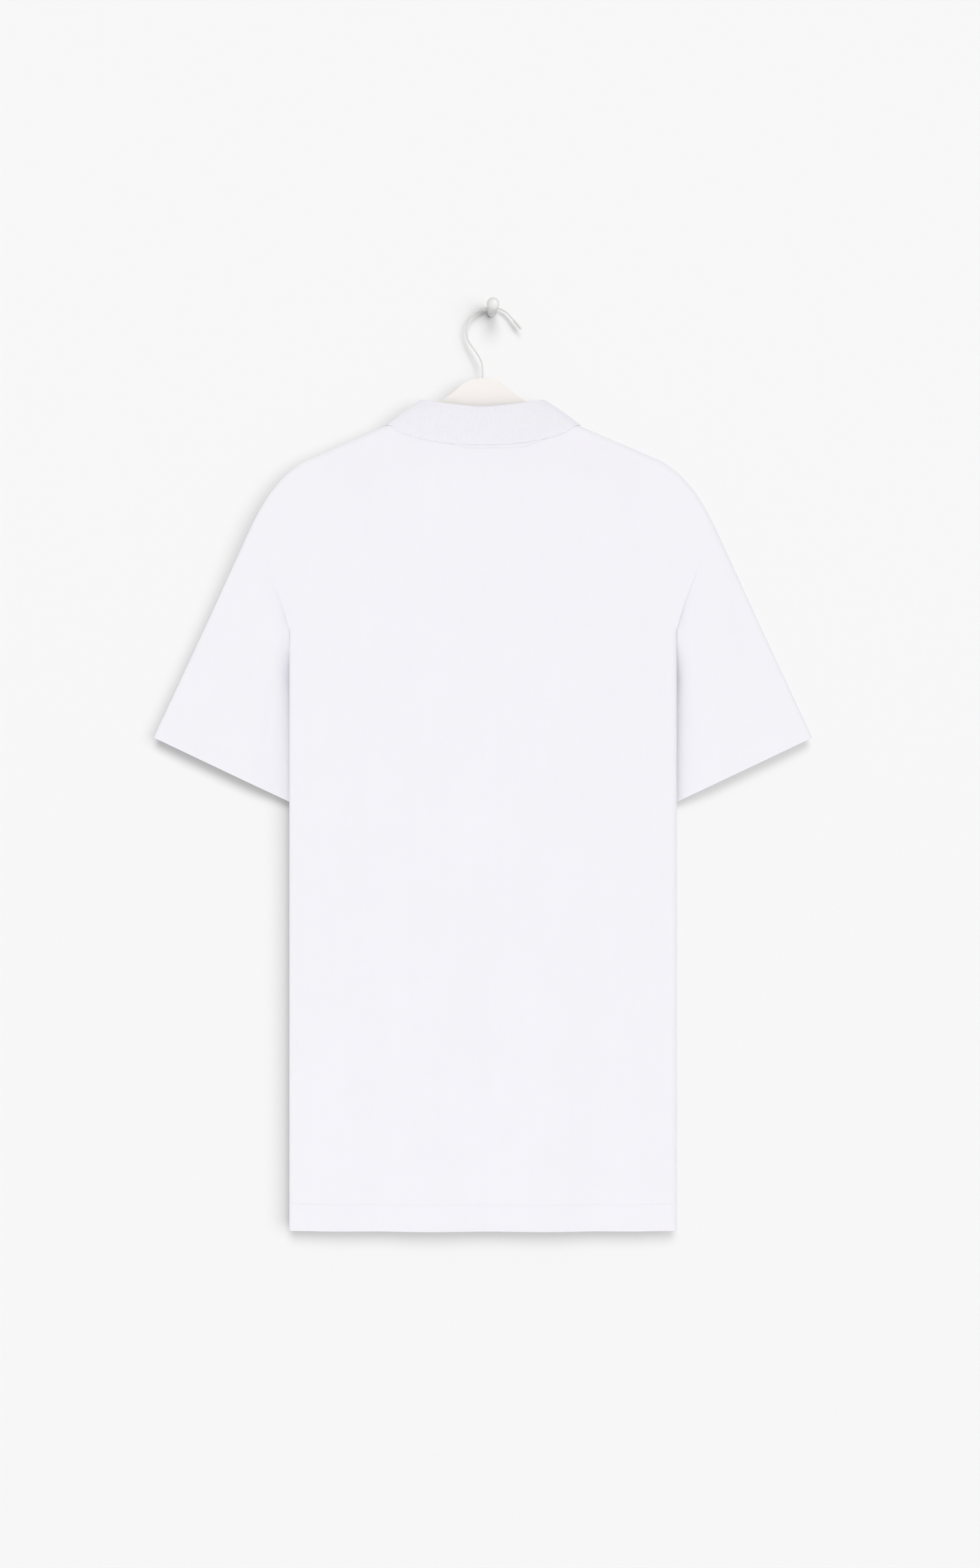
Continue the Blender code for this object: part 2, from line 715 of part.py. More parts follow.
def hook_tip(collection, colour):
    """A plastic sleeve over the wire's end, closed at its far side."""
    before, end = wire_points()[-2:]
    along = (end - before).normalized()
    bore = WIRE_RADIUS + TIP_BORE
    outer = bore + TIP_WALL
    profile = (
        (0, TIP_COVER),
        (outer - 0.5, TIP_COVER),
        (outer, TIP_COVER - 0.5),
        (outer, TIP_COVER - TIP_LENGTH + 0.3),
        (outer - 0.25, TIP_COVER - TIP_LENGTH),
        (bore, TIP_COVER - TIP_LENGTH),
        (bore, TIP_BORE),
        (0, TIP_BORE),
    )
    obj = turned("hook_tip", profile, 14, collection, colour, 0.25)
    obj.location = end * MM
    obj.rotation_mode = "QUATERNION"
    obj.rotation_quaternion = along.to_track_quat("Z", "Y")
    return obj


# ---- wall knob ----
KNOB_COLUMNS = ("radius", "from_wall")
KNOB_PROFILE = (
    (0.0, 44.2),
    (3.4, 43.9),
    (5.5, 43.0),
    (6.7, 41.2),
    (6.9, 39.4),
    (6.5, 37.6),
    (6.5, 35.8),
    (6.9, 34.4),
    (6.9, 12.4),
    (6.3, 10.6),
    (3.45, 9.6),
    (3.45, 4.2),
    (5.0, 3.4),
    (5.0, 0.0),
    (0.0, 0.0),
)


def wall_knob(collection, colour):
    """Turned about the axis that goes out from the wall."""
    obj = turned("wall_knob", KNOB_PROFILE, 28, collection, colour, 0.4)
    obj.rotation_euler = (math.pi / 2, 0, 0)
    return obj


def main():
    clear_scene()
    collection = make_collection("polo_shirt_on_hanger")
    jersey = (0.91, 0.90, 0.94)
    rib = (0.87, 0.86, 0.90)
    plastic = (0.90, 0.90, 0.88)
    panel("back", -1, collection, jersey)
    panel("front", 1, collection, jersey)
    sleeve("sleeve_left", -1, collection, jersey)
    sleeve("sleeve_right", 1, collection, jersey)
    collar(collection, rib)
    placket("placket_over", PLACKET_GAP + CLOTH, collection, jersey)
    placket("placket_under", -CLOTH - PLACKET_GAP, collection, jersey)
    for number, drop in enumerate(BUTTON_DROPS, 1):
        button(f"button_{number}", drop, collection, plastic)
    hanger(collection, (0.90, 0.89, 0.85))
    hook(collection, (0.82, 0.82, 0.78))
    hook_tip(collection, plastic)
    wall_knob(collection, plastic)


main()
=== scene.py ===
"""The looks of a white polo shirt that hangs, back outwards, on a flat hanger and a wall knob.

It is laid out as a Blender add-on and run as a script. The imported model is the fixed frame: metres, +Z up,
+Y into the wall, and the origin on the wall behind the knob. Lengths in the constants are in millimetres.
"""

import math

import bmesh
import bpy
import numpy as np
from bpy.props import FloatProperty, FloatVectorProperty, PointerProperty
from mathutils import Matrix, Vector


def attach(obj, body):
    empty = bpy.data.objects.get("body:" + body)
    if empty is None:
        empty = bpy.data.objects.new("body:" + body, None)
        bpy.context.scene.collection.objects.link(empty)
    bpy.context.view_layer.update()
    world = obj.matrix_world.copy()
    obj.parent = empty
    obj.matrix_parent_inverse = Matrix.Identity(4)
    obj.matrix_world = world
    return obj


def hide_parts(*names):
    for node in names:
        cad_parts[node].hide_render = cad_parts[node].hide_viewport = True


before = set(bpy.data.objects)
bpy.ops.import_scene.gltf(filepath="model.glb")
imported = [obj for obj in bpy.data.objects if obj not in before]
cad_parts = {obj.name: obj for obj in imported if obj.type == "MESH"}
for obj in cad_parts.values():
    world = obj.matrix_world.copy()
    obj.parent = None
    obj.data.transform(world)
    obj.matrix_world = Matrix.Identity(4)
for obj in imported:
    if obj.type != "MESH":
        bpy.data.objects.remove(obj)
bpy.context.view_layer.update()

bl_info = {
    "name": "Polo shirt on a hanger",
    "version": (1, 0, 0),
    "blender": (4, 5, 0),
    "location": "3D View > Sidebar > Shirt",
    "description": "Makes a white polo shirt on a hanger, its knob and its stage",
    "category": "Object",
}

MM = 0.001
BODY = "root"

# ---- the shirt's shape ----
SHOULDER_SLOPE = math.radians(23.4)
SLEEVE_HANG = math.radians(24.98)
CUFF_SLOPE = math.radians(25.4)
NECK_ROUND = {-1: 0.834, 1: 0.98}
EDGE_ROUND = 6.0
SHOULDER_ROUND = 7.0
ARMPIT_ROUND = 8.0
NECK_SWELL = {-1: 4.0, 1: 1.5}
HEM_FLATTEN = 0.35
SEAM_HALF_GAP = 0.06
SLEEVE_EDGE_DEPTH = 4.5
SLEEVE_SWELL = 1.8
SLEEVE_SET_BACK = 5.5
UNDERARM_ROUND = 3.2
UNDERARM_THIN = 0.5
TUCK = 13.0
TUCKED_BY = 0.34
UNDERARM_TUCKED_BY = 0.2
CLEAR_OF_BODY = 0.06
SIDE_OVERLAP = 0.6
SLEEVE_UNDER_PANEL = 0.4
SEAM_OVERLAP = 1.2
CUFF_RIDGE = 0.06
CUFF_GROOVE = 0.03

# Soft vertical folds, as in the solids: where they run, how wide, how far out, and where they fade out.
FOLD_COLUMNS = ("x", "half_width", "out", "top_z")
FOLDS = {
    -1: (
        (-172.0, 30.0, 1.6, -430.0),
        (-118.0, 26.0, -1.3, -560.0),
        (-62.0, 34.0, 1.4, -640.0),
        (8.0, 30.0, -1.2, -520.0),
        (74.0, 36.0, 1.3, -700.0),
        (128.0, 24.0, -1.4, -600.0),
        (180.0, 28.0, 1.5, -470.0),
    ),
    1: (
        (-165.0, 30.0, 1.4, -470.0),
        (-100.0, 30.0, -1.3, -600.0),
        (-36.0, 32.0, 1.5, -540.0),
        (40.0, 34.0, -1.2, -620.0),
        (104.0, 28.0, 1.3, -520.0),
        (166.0, 30.0, -1.2, -600.0),
    ),
}

# Shallow creases: middle, half length, half width, how far out, and lean from plumb in degrees.
CREASE_COLUMNS = ("x", "z", "half_length", "half_width", "out", "lean")
CREASES = {
    -1: (
        (-196.0, -470.0, 120.0, 9.0, 0.30, -3.0),
        (-150.0, -690.0, 150.0, 8.0, -0.22, 2.0),
        (-138.0, -860.0, 130.0, 7.0, 0.26, -1.0),
        (-92.0, -780.0, 170.0, 10.0, 0.24, 3.0),
        (-30.0, -610.0, 90.0, 9.0, -0.22, 1.0),
        (-14.0, -820.0, 120.0, 12.0, 0.26, -2.0),
        (40.0, -560.0, 80.0, 8.0, 0.22, 0.0),
        (52.0, -880.0, 110.0, 9.0, -0.22, 2.0),
        (98.0, -650.0, 140.0, 9.0, 0.26, -2.0),
        (146.0, -820.0, 160.0, 8.0, -0.24, 1.0),
        (197.0, -720.0, 190.0, 9.0, 0.30, 2.0),
        (-206.0, -392.0, 52.0, 7.0, -0.45, 34.0),
        (206.0, -392.0, 52.0, 7.0, -0.45, -34.0),
        (-178.0, -292.0, 70.0, 12.0, 0.35, 48.0),
        (178.0, -292.0, 70.0, 12.0, 0.35, -48.0),
        (-96.0, -214.0, 60.0, 12.0, 0.25, 66.0),
        (96.0, -214.0, 60.0, 12.0, 0.25, -66.0),
        (0.0, -248.0, 70.0, 22.0, 0.30, 90.0),
    ),
    1: (
        (-190.0, -520.0, 140.0, 9.0, 0.30, -2.0),
        (-130.0, -760.0, 170.0, 9.0, -0.24, 2.0),
        (-68.0, -690.0, 150.0, 10.0, 0.26, 0.0),
        (4.0, -720.0, 180.0, 12.0, 0.30, -2.0),
        (70.0, -800.0, 140.0, 9.0, -0.24, 1.0),
        (134.0, -640.0, 150.0, 9.0, 0.26, 2.0),
        (192.0, -760.0, 170.0, 8.0, 0.28, -1.0),
        (-206.0, -392.0, 52.0, 7.0, -0.45, 34.0),
        (206.0, -392.0, 52.0, 7.0, -0.45, -34.0),
        (-150.0, -300.0, 80.0, 12.0, 0.40, 40.0),
        (150.0, -300.0, 80.0, 12.0, 0.40, -40.0),
    ),
}

# ---- hems and seams ----
HEM_RADIUS = 1.05
HEM_RAISE = 0.16
STITCH_SINK = 0.11
NECK_STITCH_BELOW = 3.6
NECK_STITCH_ENDS = (-50.0, 84.0)
NECK_TOP = (0.0, 0.15, 0.5, 1.1, 2.0, 3.0, 3.6, 4.2, 4.8, 5.4, 6.0, 6.6, 7.2, 7.8, 8.4, 9.0, 9.8, 11.0, 13.0, 16.0)
STITCH_PITCH = 2.9
STITCH_LENGTH = 2.35
THREAD_RADIUS = 0.24

# ---- collar ----
FOLD_HALF_WIDTH = 70.0
FOLD_BACK_Z = -117.2
FOLD_SIDE_Z = -108.4
FOLD_FRONT_Z = -211.0
FOLD_RADIUS = 1.75
FOLD_DEPTH = 15.0
COLLAR_POINT = (43.0, -281.0)
LEAF_OVERHANG = 8.0
LEAF_BELOW_SEAM = 3.0
LEAF_LIFT = 0.36
LEAF_ROWS = (*np.linspace(0, 0.91, 13), 0.95, 0.975, 0.99, 1.0)
LEAF_EDGE_WALL = (0.93, 0.75, 0.55, 0.38)
LEAF_OVER_PLACKET = 2.5
LEAF_BELOW_SHOULDER = 0.25
LEAF_FLIP = 2.1
LEAF_FLIP_X = 106.0
COLLAR_SEAM_LIFT = 0.2
COLLAR_WALL = 1.3
COLLAR_END = 0.985
RIB_STEPS = 4
RIB_HEIGHT = 0.09

# ---- placket and buttons ----
SLIT_HALF = 1.5
PLACKET_LENGTH = 152.0
PLACKET_HALF = 16.0
PLACKET_GAP = 0.4
PLACKET_BELOW_NECK = 1.2
SLIT_SHORTER = 6.0
PLACKET_CLOTH = 1.5
BUTTON_DROPS = (17.0, 68.0, 119.0)
BUTTON_RADIUS = 5.6
BUTTON_HOLE_AT = 1.45

# ---- hanger, hook and knob ----
HANGER_THICK = 6.4
HANGER_TOP_Z = -81.8
HANGER_HUMP = (
    (0.0, 0.0),
    (9.0, 0.5),
    (14.0, 1.7),
    (19.0, 3.9),
    (24.0, 7.0),
    (30.0, 12.1),
    (37.4, 18.1),
    (48.0, 25.6),
    (72.0, 39.6),
    (100.0, 53.8),
)
HANGER_ARM_END = (203.0, -191.4)
HANGER_ARM_RADIUS = 11.0
HANGER_IN_SHOULDER = 3.2
HOOK_CENTRE = (-0.9, -24.0)
HOOK_RADIUS = 28.8
HOOK_TOP_Y = -7.0
HOOK_BEND = ((0.0, -71.0), (0.3, -67.0), (1.2, -62.6), (3.1, -57.6), (6.6, -51.5), (10.7, -45.6))
HOOK_STRAIGHTENS = 38
HOOK_TAIL = 18.8
WIRE_RADIUS = 0.88
TIP_LENGTH = 12.8

# ---- stage ----
CAMERA_PLACE = (-2.0, -2300.0, -553.7)
FLOOR_Z = -1700.0


def length(name, text, size):
    """A length property whose default is given in millimetres."""
    return FloatProperty(name=name, description=text, default=size * MM, unit="LENGTH", precision=4)


def share(name, text, default, highest=1.0):
    return FloatProperty(name=name, description=text, default=default, min=0.0, max=highest, subtype="FACTOR")


def angle(name, text, degrees):
    return FloatProperty(name=name, description=text, default=math.radians(degrees), subtype="ANGLE")


def colour(name, text, default):
    return FloatVectorProperty(
        name=name, description=text, default=default, size=3, min=0.0, max=1.0, subtype="COLOR"
    )


class ShirtSizes(bpy.types.PropertyGroup):
    centre_x: length("Centre line", "The shirt's centre line, beside the knob's axis", -10.0)
    middle_y: length("Middle plane", "The plane half-way between the back and the front", -20.5)
    hem_z: length("Hem", "Height of the hem", -1073.0)
    half_width: length("Half width", "From the centre line to the side fold", 225.5)
    neck_x: length("Neck point", "From the centre line to where neck and shoulder meet", 105.0)
    neck_z: length("Neck height", "Height of the neck point", -133.2)
    shoulder_straight: length("Shoulder", "From the neck point to where the shoulder falls", 105.5)
    shoulder_x: length("Shoulder end", "From the centre line to the armhole's top", 269.5)
    shoulder_z: length("Shoulder end height", "Height of the armhole's top", -253.0)
    armhole_bend_z: length("Armhole bend", "Height of the armhole's bend", -357.0)
    armpit_z: length("Armpit", "Height of the armpit", -375.7)
    back_drop: length("Back neck drop", "How deep the back neckline is", 24.8)
    front_drop: length("Front neck drop", "How deep the front neckline is", 91.8)
    edge_depth: length("Edge depth", "From the middle plane to the cloth beside a fold", 6.5)
    back_swell: length("Back swell", "How much further out the middle of the back is", 6.5)
    front_swell: length("Front swell", "How much further out the middle of the front is", 5.0)
    cuff_x: length("Cuff corner", "From the centre line to the cuff's outer corner", 384.3)
    cuff_z: length("Cuff corner height", "Height of the cuff's outer corner", -499.4)
    cuff_width: length("Cuff width", "Width of the flat cuff", 205.0)
    hem_depth: length("Hem depth", "From the hem to its stitches", 31.5)
    cuff_hem: length("Cuff hem", "From the cuff to its seam", 22.0)
    jersey_wall: length("Jersey", "Thickness of the jersey", 0.9)


class ClothFinish(bpy.types.PropertyGroup):
    jersey_colour: colour("Jersey", "Colour of the jersey", (0.795, 0.785, 0.825))
    rib_colour: colour("Rib", "Colour of the rib collar", (0.765, 0.757, 0.80))
    thread_colour: colour("Thread", "Colour of the sewing thread", (0.79, 0.785, 0.81))
    wale_pitch: length("Wale pitch", "Width of one column of stitches in the jersey", 0.85)
    course_pitch: length("Course pitch", "Height of one stitch in the jersey", 0.6)
    rib_pitch: length("Rib pitch", "Width of one rib of the collar", 2.1)
    softness: share("Softness", "How much light the cloth's nap catches at its edges", 0.12)


class HardFinish(bpy.types.PropertyGroup):
    hanger_colour: colour("Hanger", "Colour of the hanger", (0.825, 0.79, 0.762))
    wire_colour: colour("Wire", "Colour of the hook's wire", (0.66, 0.65, 0.62))
    tip_colour: colour("Tip", "Colour of the hook's tip", (0.50, 0.51, 0.48))
    knob_colour: colour("Knob", "Colour of the wall knob", (0.76, 0.76, 0.75))
    button_colour: colour("Buttons", "Colour of the buttons", (0.80, 0.80, 0.79))


class StageSettings(bpy.types.PropertyGroup):
    wall_colour: colour("Wall", "Colour of the wall's own diffuse part", (0.12, 0.12, 0.12))
    wall_glow: share("Wall glow", "Brightness of the evenly lit backdrop itself", 0.0995, 2.0)
    floor_colour: colour("Floor", "Colour of the floor", (0.38, 0.38, 0.38))
    sky: share("Sky", "Strength of the even light", 0.84, 5.0)
    key: share("Key", "Strength of the high light that throws the shadow below the shirt", 8.4, 40.0)
    side: share("Side light", "Strength of the low light that throws the shadow beside the shirt", 7.9, 40.0)
    spot: share("Spot", "Strength of the light that throws the knob's shadow", 5.7, 40.0)
    soft: share("Soft light", "Strength of the broad light on the shirt", 0.80, 20.0)
    fill: share("Fill", "Strength of the light on the knob and the hook", 1.0, 20.0)
    back: share("Back light", "Strength of the light from behind", 1.6, 20.0)
    key_spread: angle("Key spread", "Apparent size of the high light", 28)
    spot_spread: angle("Spot spread", "Apparent size of the knob's light", 24)
    side_spread: angle("Side spread", "Apparent size of the low light", 44)
    soft_spread: angle("Soft spread", "Apparent size of the shirt's broad light", 84)
    lens: FloatProperty(name="Lens", description="Focal length of the camera", default=44.94, unit="CAMERA")


# ---- shapes worked out from the sizes ----
def smooth(value):
    """Rises from 0 to 1 with level ends."""
    value = np.clip(value, 0.0, 1.0)
    return value * value * (3 - 2 * value)


def rounded(value):
    """A quarter circle: 0 at the edge, with an upright start, to 1."""
    value = np.clip(value, 0.0, 1.0)
    return np.sqrt(1 - (1 - value) ** 2)


def mix(first, second, amount):
    return first + (second - first) * amount


def bell(value):
    return np.exp(-(value**2))


def bezier(start, bend, end, amount):
    return (1 - amount) ** 2 * start + 2 * amount * (1 - amount) * bend + amount**2 * end


def bezier_share(start, bend, end, value):
    """Where a quadratic curve that runs one way passes a value."""
    slope = 2 * (bend - start)
    square = start - 2 * bend + end
    root = np.sqrt(np.maximum(slope**2 + 4 * square * (value - start), 0.0))
    return np.clip(2 * (value - start) / (slope + math.copysign(1, slope) * root), 0.0, 1.0)


def unit(vectors):
    return vectors / np.maximum(np.linalg.norm(vectors, axis=-1, keepdims=True), 1e-9)


def rows_of(table, columns):
    return [dict(zip(columns, row)) for row in table]


class Cut:
    """The shirt's cut and how it hangs, in millimetres, on the shirt's own centre line."""

    def __init__(self, sizes):
        for name in sizes.__annotations__:
            setattr(self, name, getattr(sizes, name) / MM)
        run = self.shoulder_straight
        self.turn_x = self.neck_x + run * math.cos(SHOULDER_SLOPE)
        self.turn_z = self.neck_z - run * math.sin(SHOULDER_SLOPE)
        steep, gentle = 1 / math.tan(SLEEVE_HANG), math.tan(SHOULDER_SLOPE)
        across = steep * (self.shoulder_x - self.turn_x) - (self.turn_z - self.shoulder_z)
        across /= steep - gentle
        self.corner_x = self.turn_x + across
        self.corner_z = self.turn_z - across * gentle

    # the outline
    def shoulder_height(self, x):
        """Height of the shoulder fold, level inside the neck."""
        straight = self.neck_z - np.maximum(x - self.neck_x, 0.0) * math.tan(SHOULDER_SLOPE)
        amount = bezier_share(self.turn_x, self.corner_x, self.shoulder_x, x)
        falling = bezier(self.turn_z, self.corner_z, self.shoulder_z, amount)
        return np.where(x <= self.turn_x, straight, falling)

    def shoulder_tilt(self, x):
        return 1 / np.hypot(1, self.shoulder_height(x + 0.5) - self.shoulder_height(x - 0.5))

    def armhole(self, amount):
        """The armhole seam from the shoulder (0) to the armpit (1), as x and z."""
        x = bezier(self.shoulder_x, self.half_width, self.half_width, amount)
        return x, bezier(self.shoulder_z, self.armhole_bend_z, self.armpit_z, amount)

    def side_width(self, z):
        amount = bezier_share(
            self.shoulder_z, self.armhole_bend_z, self.armpit_z, np.minimum(z, self.shoulder_z)
        )
        return np.where(z <= self.armpit_z, self.half_width, self.armhole(amount)[0])

    def neckline(self, x, side):
        drop = self.back_drop if side < 0 else self.front_drop
        across = np.minimum(np.abs(x) / self.neck_x, 1.0)
        rise = 1 - np.sqrt(1 - NECK_ROUND[side] * across**2)
        return self.neck_z - drop * (1 - rise / (1 - math.sqrt(1 - NECK_ROUND[side])))

    # the hanging surface
    def folds(self, x, z, side):
        total = np.zeros_like(x)
        for fold in rows_of(FOLDS[side], FOLD_COLUMNS):
            fade = smooth((fold["top_z"] - z) / 300)
            total += fold["out"] * bell((x - fold["x"]) / fold["half_width"]) * fade
        for crease in rows_of(CREASES[side], CREASE_COLUMNS):
            lean = math.radians(crease["lean"])
            right, up = x - crease["x"], z - crease["z"]
            along = right * math.sin(lean) + up * math.cos(lean)
            across = right * math.cos(lean) - up * math.sin(lean)
            fade = smooth(1.4 * (1 - np.abs(along) / crease["half_length"]))
            total += crease["out"] * bell(across / crease["half_width"]) * fade
        return total * smooth((self.side_width(z) - np.abs(x)) / 45)

    def depth(self, x, z, side):
        """Distance of a panel's outer face from the middle plane."""
        across = np.abs(x)
        below = (self.shoulder_height(across) - z) * self.shoulder_tilt(across)
        inside = self.side_width(z) - across
        is_open = rounded((z - self.armpit_z) / ARMPIT_ROUND)
        flat = 1 - HEM_FLATTEN * smooth((self.armpit_z - z) / (self.armpit_z - self.hem_z))
        swell = self.back_swell if side < 0 else self.front_swell
        swell = swell * smooth(inside / 150) * smooth(below / 70) * flat
        neck = NECK_SWELL[side] * bell(x / 75) * bell(below / 90)
        edge = is_open + (1 - is_open) * rounded(inside / EDGE_ROUND)
        depth = (self.edge_depth + swell + neck + self.folds(x, z, side)) * edge
        return depth * rounded(below / SHOULDER_ROUND)

    def on_panel(self, x, z, side, out=0.0):
        """Points of a panel's outer face, moved out by a distance."""
        x, z = np.broadcast_arrays(np.asarray(x, float), np.asarray(z, float))
        y = self.middle_y + side * (SEAM_HALF_GAP + self.depth(x, z, side) + out)
        return np.stack([x, y, z], axis=-1)

    def panel_normal(self, x, z, side):
        step = 0.2
        across = self.on_panel(x + step, z, side) - self.on_panel(x - step, z, side)
        down = self.on_panel(x, z - step, side) - self.on_panel(x, z, side)
        return unit(np.cross(across, down)) * -side * -1

    def off_panel(self, x, z, side, out):
        """Points of a panel's outer face, moved out square to the face."""
        moved = np.asarray(out, float)[..., None] * self.panel_normal(x, z, side)
        return self.on_panel(x, z, side) + moved

    def placed(self, points):
        """Points moved from the shirt's centre line to its place beside the knob."""
        return points + np.array([self.centre_x, 0.0, 0.0])


def spaced(total, step, fine=(0.0, 0.15, 0.5, 1.1, 2.0, 3.2, 4.8, 6.8, 9.4)):
    """Distances from 0 to a total, close together at the start."""
    rest = max(int(round((total - fine[-1]) / step)), 1)
    return [*fine[:-1], *np.linspace(fine[-1], total, rest + 1)]


# ---- making meshes ----
def deselect_all():
    if bpy.context.mode != "OBJECT":
        bpy.ops.object.mode_set(mode="OBJECT")
    bpy.ops.object.select_all(action="DESELECT")


def activate(obj):
    deselect_all()
    obj.select_set(True)
    bpy.context.view_layer.objects.active = obj


def grid_normals(points, closed=False):
    """Outward normals of a grid whose columns run to the right and whose rows run down."""
    if closed:
        across = np.roll(points, -1, axis=1) - np.roll(points, 1, axis=1)
    else:
        across = np.gradient(points, axis=1)
    down = np.gradient(points, axis=0)
    return unit(np.cross(down, across))


def with_turned_hem(points, hem_rows, closed=False):
    """Adds a hem that is turned in and up again: the last rows are repeated inside, round a small fold."""
    normals = grid_normals(points, closed)
    edge, inwards = points[-1], -normals[-1]
    down = unit(points[-1] - points[-2])
    turned = []
    for degrees in range(20, 180, 20):
        swing = math.radians(degrees)
        turned.append(
            edge + inwards * HEM_RADIUS * (1 - math.cos(swing)) + down * HEM_RADIUS * (math.sin(swing) - 1)
        )
    outer = points.copy()
    outer[-1] -= down * HEM_RADIUS
    inner = points - normals * 2 * HEM_RADIUS
    inner[-1] -= down * HEM_RADIUS
    return np.concatenate([outer, turned, inner[-1 : -hem_rows - 1 : -1]])


def surface_map(points):
    """A flat map of a grid in metres: its width along the middle row, its length down each column."""
    middle = points[len(points) // 2]
    across = np.concatenate([[0.0], np.cumsum(np.linalg.norm(np.diff(middle, axis=0), axis=1))])
    steps = np.linalg.norm(np.diff(points, axis=0), axis=2).mean(axis=1)
    down = np.concatenate([[0.0], np.cumsum(steps)])
    return np.stack(np.meshgrid(across, -down), axis=-1) * MM


def sheet_piece(name, points, wall, flat_map=None, missing=None, closed=False, thick=None):
    """A thin sheet of cloth under a grid of outer points in millimetres.

    missing marks cells that are cut out. thick is each row's share of the whole thickness.
    """
    rows, columns = points.shape[:2]
    deselect_all()
    bpy.ops.mesh.primitive_grid_add(
        x_subdivisions=columns - 1, y_subdivisions=rows - 1, size=2, calc_uvs=True
    )
    piece = bpy.context.object
    piece.name = piece.data.name = name
    start = np.empty(rows * columns * 3)
    piece.data.vertices.foreach_get("co", start)
    start = start.reshape(-1, 3)
    column = np.rint((start[:, 0] + 1) / 2 * (columns - 1)).astype(int)
    row = np.rint((1 - start[:, 1]) / 2 * (rows - 1)).astype(int)
    piece.data.vertices.foreach_set("co", (points[row, column] * MM).ravel())
    flat_map = surface_map(points) if flat_map is None else flat_map
    corner = np.empty(len(piece.data.loops), int)
    piece.data.loops.foreach_get("vertex_index", corner)
    piece.data.uv_layers[0].data.foreach_set("uv", flat_map[row, column][corner].ravel())
    if missing is not None:
        cut_cells(piece, row, column, missing)
    if closed:
        merge_doubles(piece)
    shell = piece.modifiers.new("wall", "SOLIDIFY")
    shell.thickness = wall * MM
    shell.offset = -1
    if thick is not None:
        full = piece.vertex_groups.new(name="thick")
        for number, amount in enumerate(thick):
            full.add(np.flatnonzero(row == number).tolist(), amount, "REPLACE")
        shell.vertex_group = full.name
    activate(piece)
    bpy.ops.object.modifier_apply(modifier=shell.name)
    bpy.ops.object.shade_smooth_by_angle(angle=math.radians(50))
    return piece


def cut_cells(piece, row, column, missing):
    """Deletes the faces whose upper left corner is a missing cell."""
    mesh = bmesh.new()
    mesh.from_mesh(piece.data)
    mesh.verts.ensure_lookup_table()
    gone = []
    for face in mesh.faces:
        corners = [vert.index for vert in face.verts]
        if (min(row[corners]), min(column[corners])) in missing:
            gone.append(face)
    bmesh.ops.delete(mesh, geom=gone, context="FACES")
    mesh.to_mesh(piece.data)
    mesh.free()


def merge_doubles(piece, distance=0.01):
    activate(piece)
    bpy.ops.object.mode_set(mode="EDIT")
    bpy.ops.mesh.select_all(action="SELECT")
    bpy.ops.mesh.remove_doubles(threshold=distance * MM)
    bpy.ops.object.mode_set(mode="OBJECT")


def face_outwards(piece):
    activate(piece)
    bpy.ops.object.mode_set(mode="EDIT")
    bpy.ops.mesh.select_all(action="SELECT")
    bpy.ops.mesh.normals_make_consistent(inside=False)
    bpy.ops.object.mode_set(mode="OBJECT")


def place(piece):
    """Puts a piece's location, turn and scale into its mesh."""
    activate(piece)
    bpy.ops.object.transform_apply(location=True, rotation=True, scale=True)


def group_of(name):
    """A collection that says which pieces a light falls on."""
    return bpy.data.collections.get(name) or bpy.data.collections.new(name)


def finish_piece(piece, material, slot, *nodes, lit_with="garment"):
    group_of(lit_with).objects.link(piece)
    piece.data.materials.clear()
    piece.data.materials.append(material)
    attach(piece, BODY)
    if nodes:
        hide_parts(*nodes)
    return piece


# ---- materials ----
class Value:
    """A number or socket in a material, with which arithmetic adds Math nodes."""

    def __init__(self, finish, socket):
        self.finish = finish
        self.socket = socket

    def _math(self, operation, *others):
        return self.finish.node("ShaderNodeMath", {"operation": operation}, *others)

    def __add__(self, other):
        return self._math("ADD", self, other)

    def __radd__(self, other):
        return self._math("ADD", other, self)

    def __sub__(self, other):
        return self._math("SUBTRACT", self, other)

    def __rsub__(self, other):
        return self._math("SUBTRACT", other, self)

    def __mul__(self, other):
        return self._math("MULTIPLY", self, other)

    def __rmul__(self, other):
        return self._math("MULTIPLY", other, self)

    def __truediv__(self, other):
        return self._math("DIVIDE", self, other)

    def __pow__(self, other):
        return self._math("POWER", self, other)

    def clamped(self):
        return self.finish.node("ShaderNodeClamp", {}, self)

    def absolute(self):
        return self._math("ABSOLUTE", self)

    def sine(self):
        return self._math("SINE", self)

    def cosine(self):
        return self._math("COSINE", self)


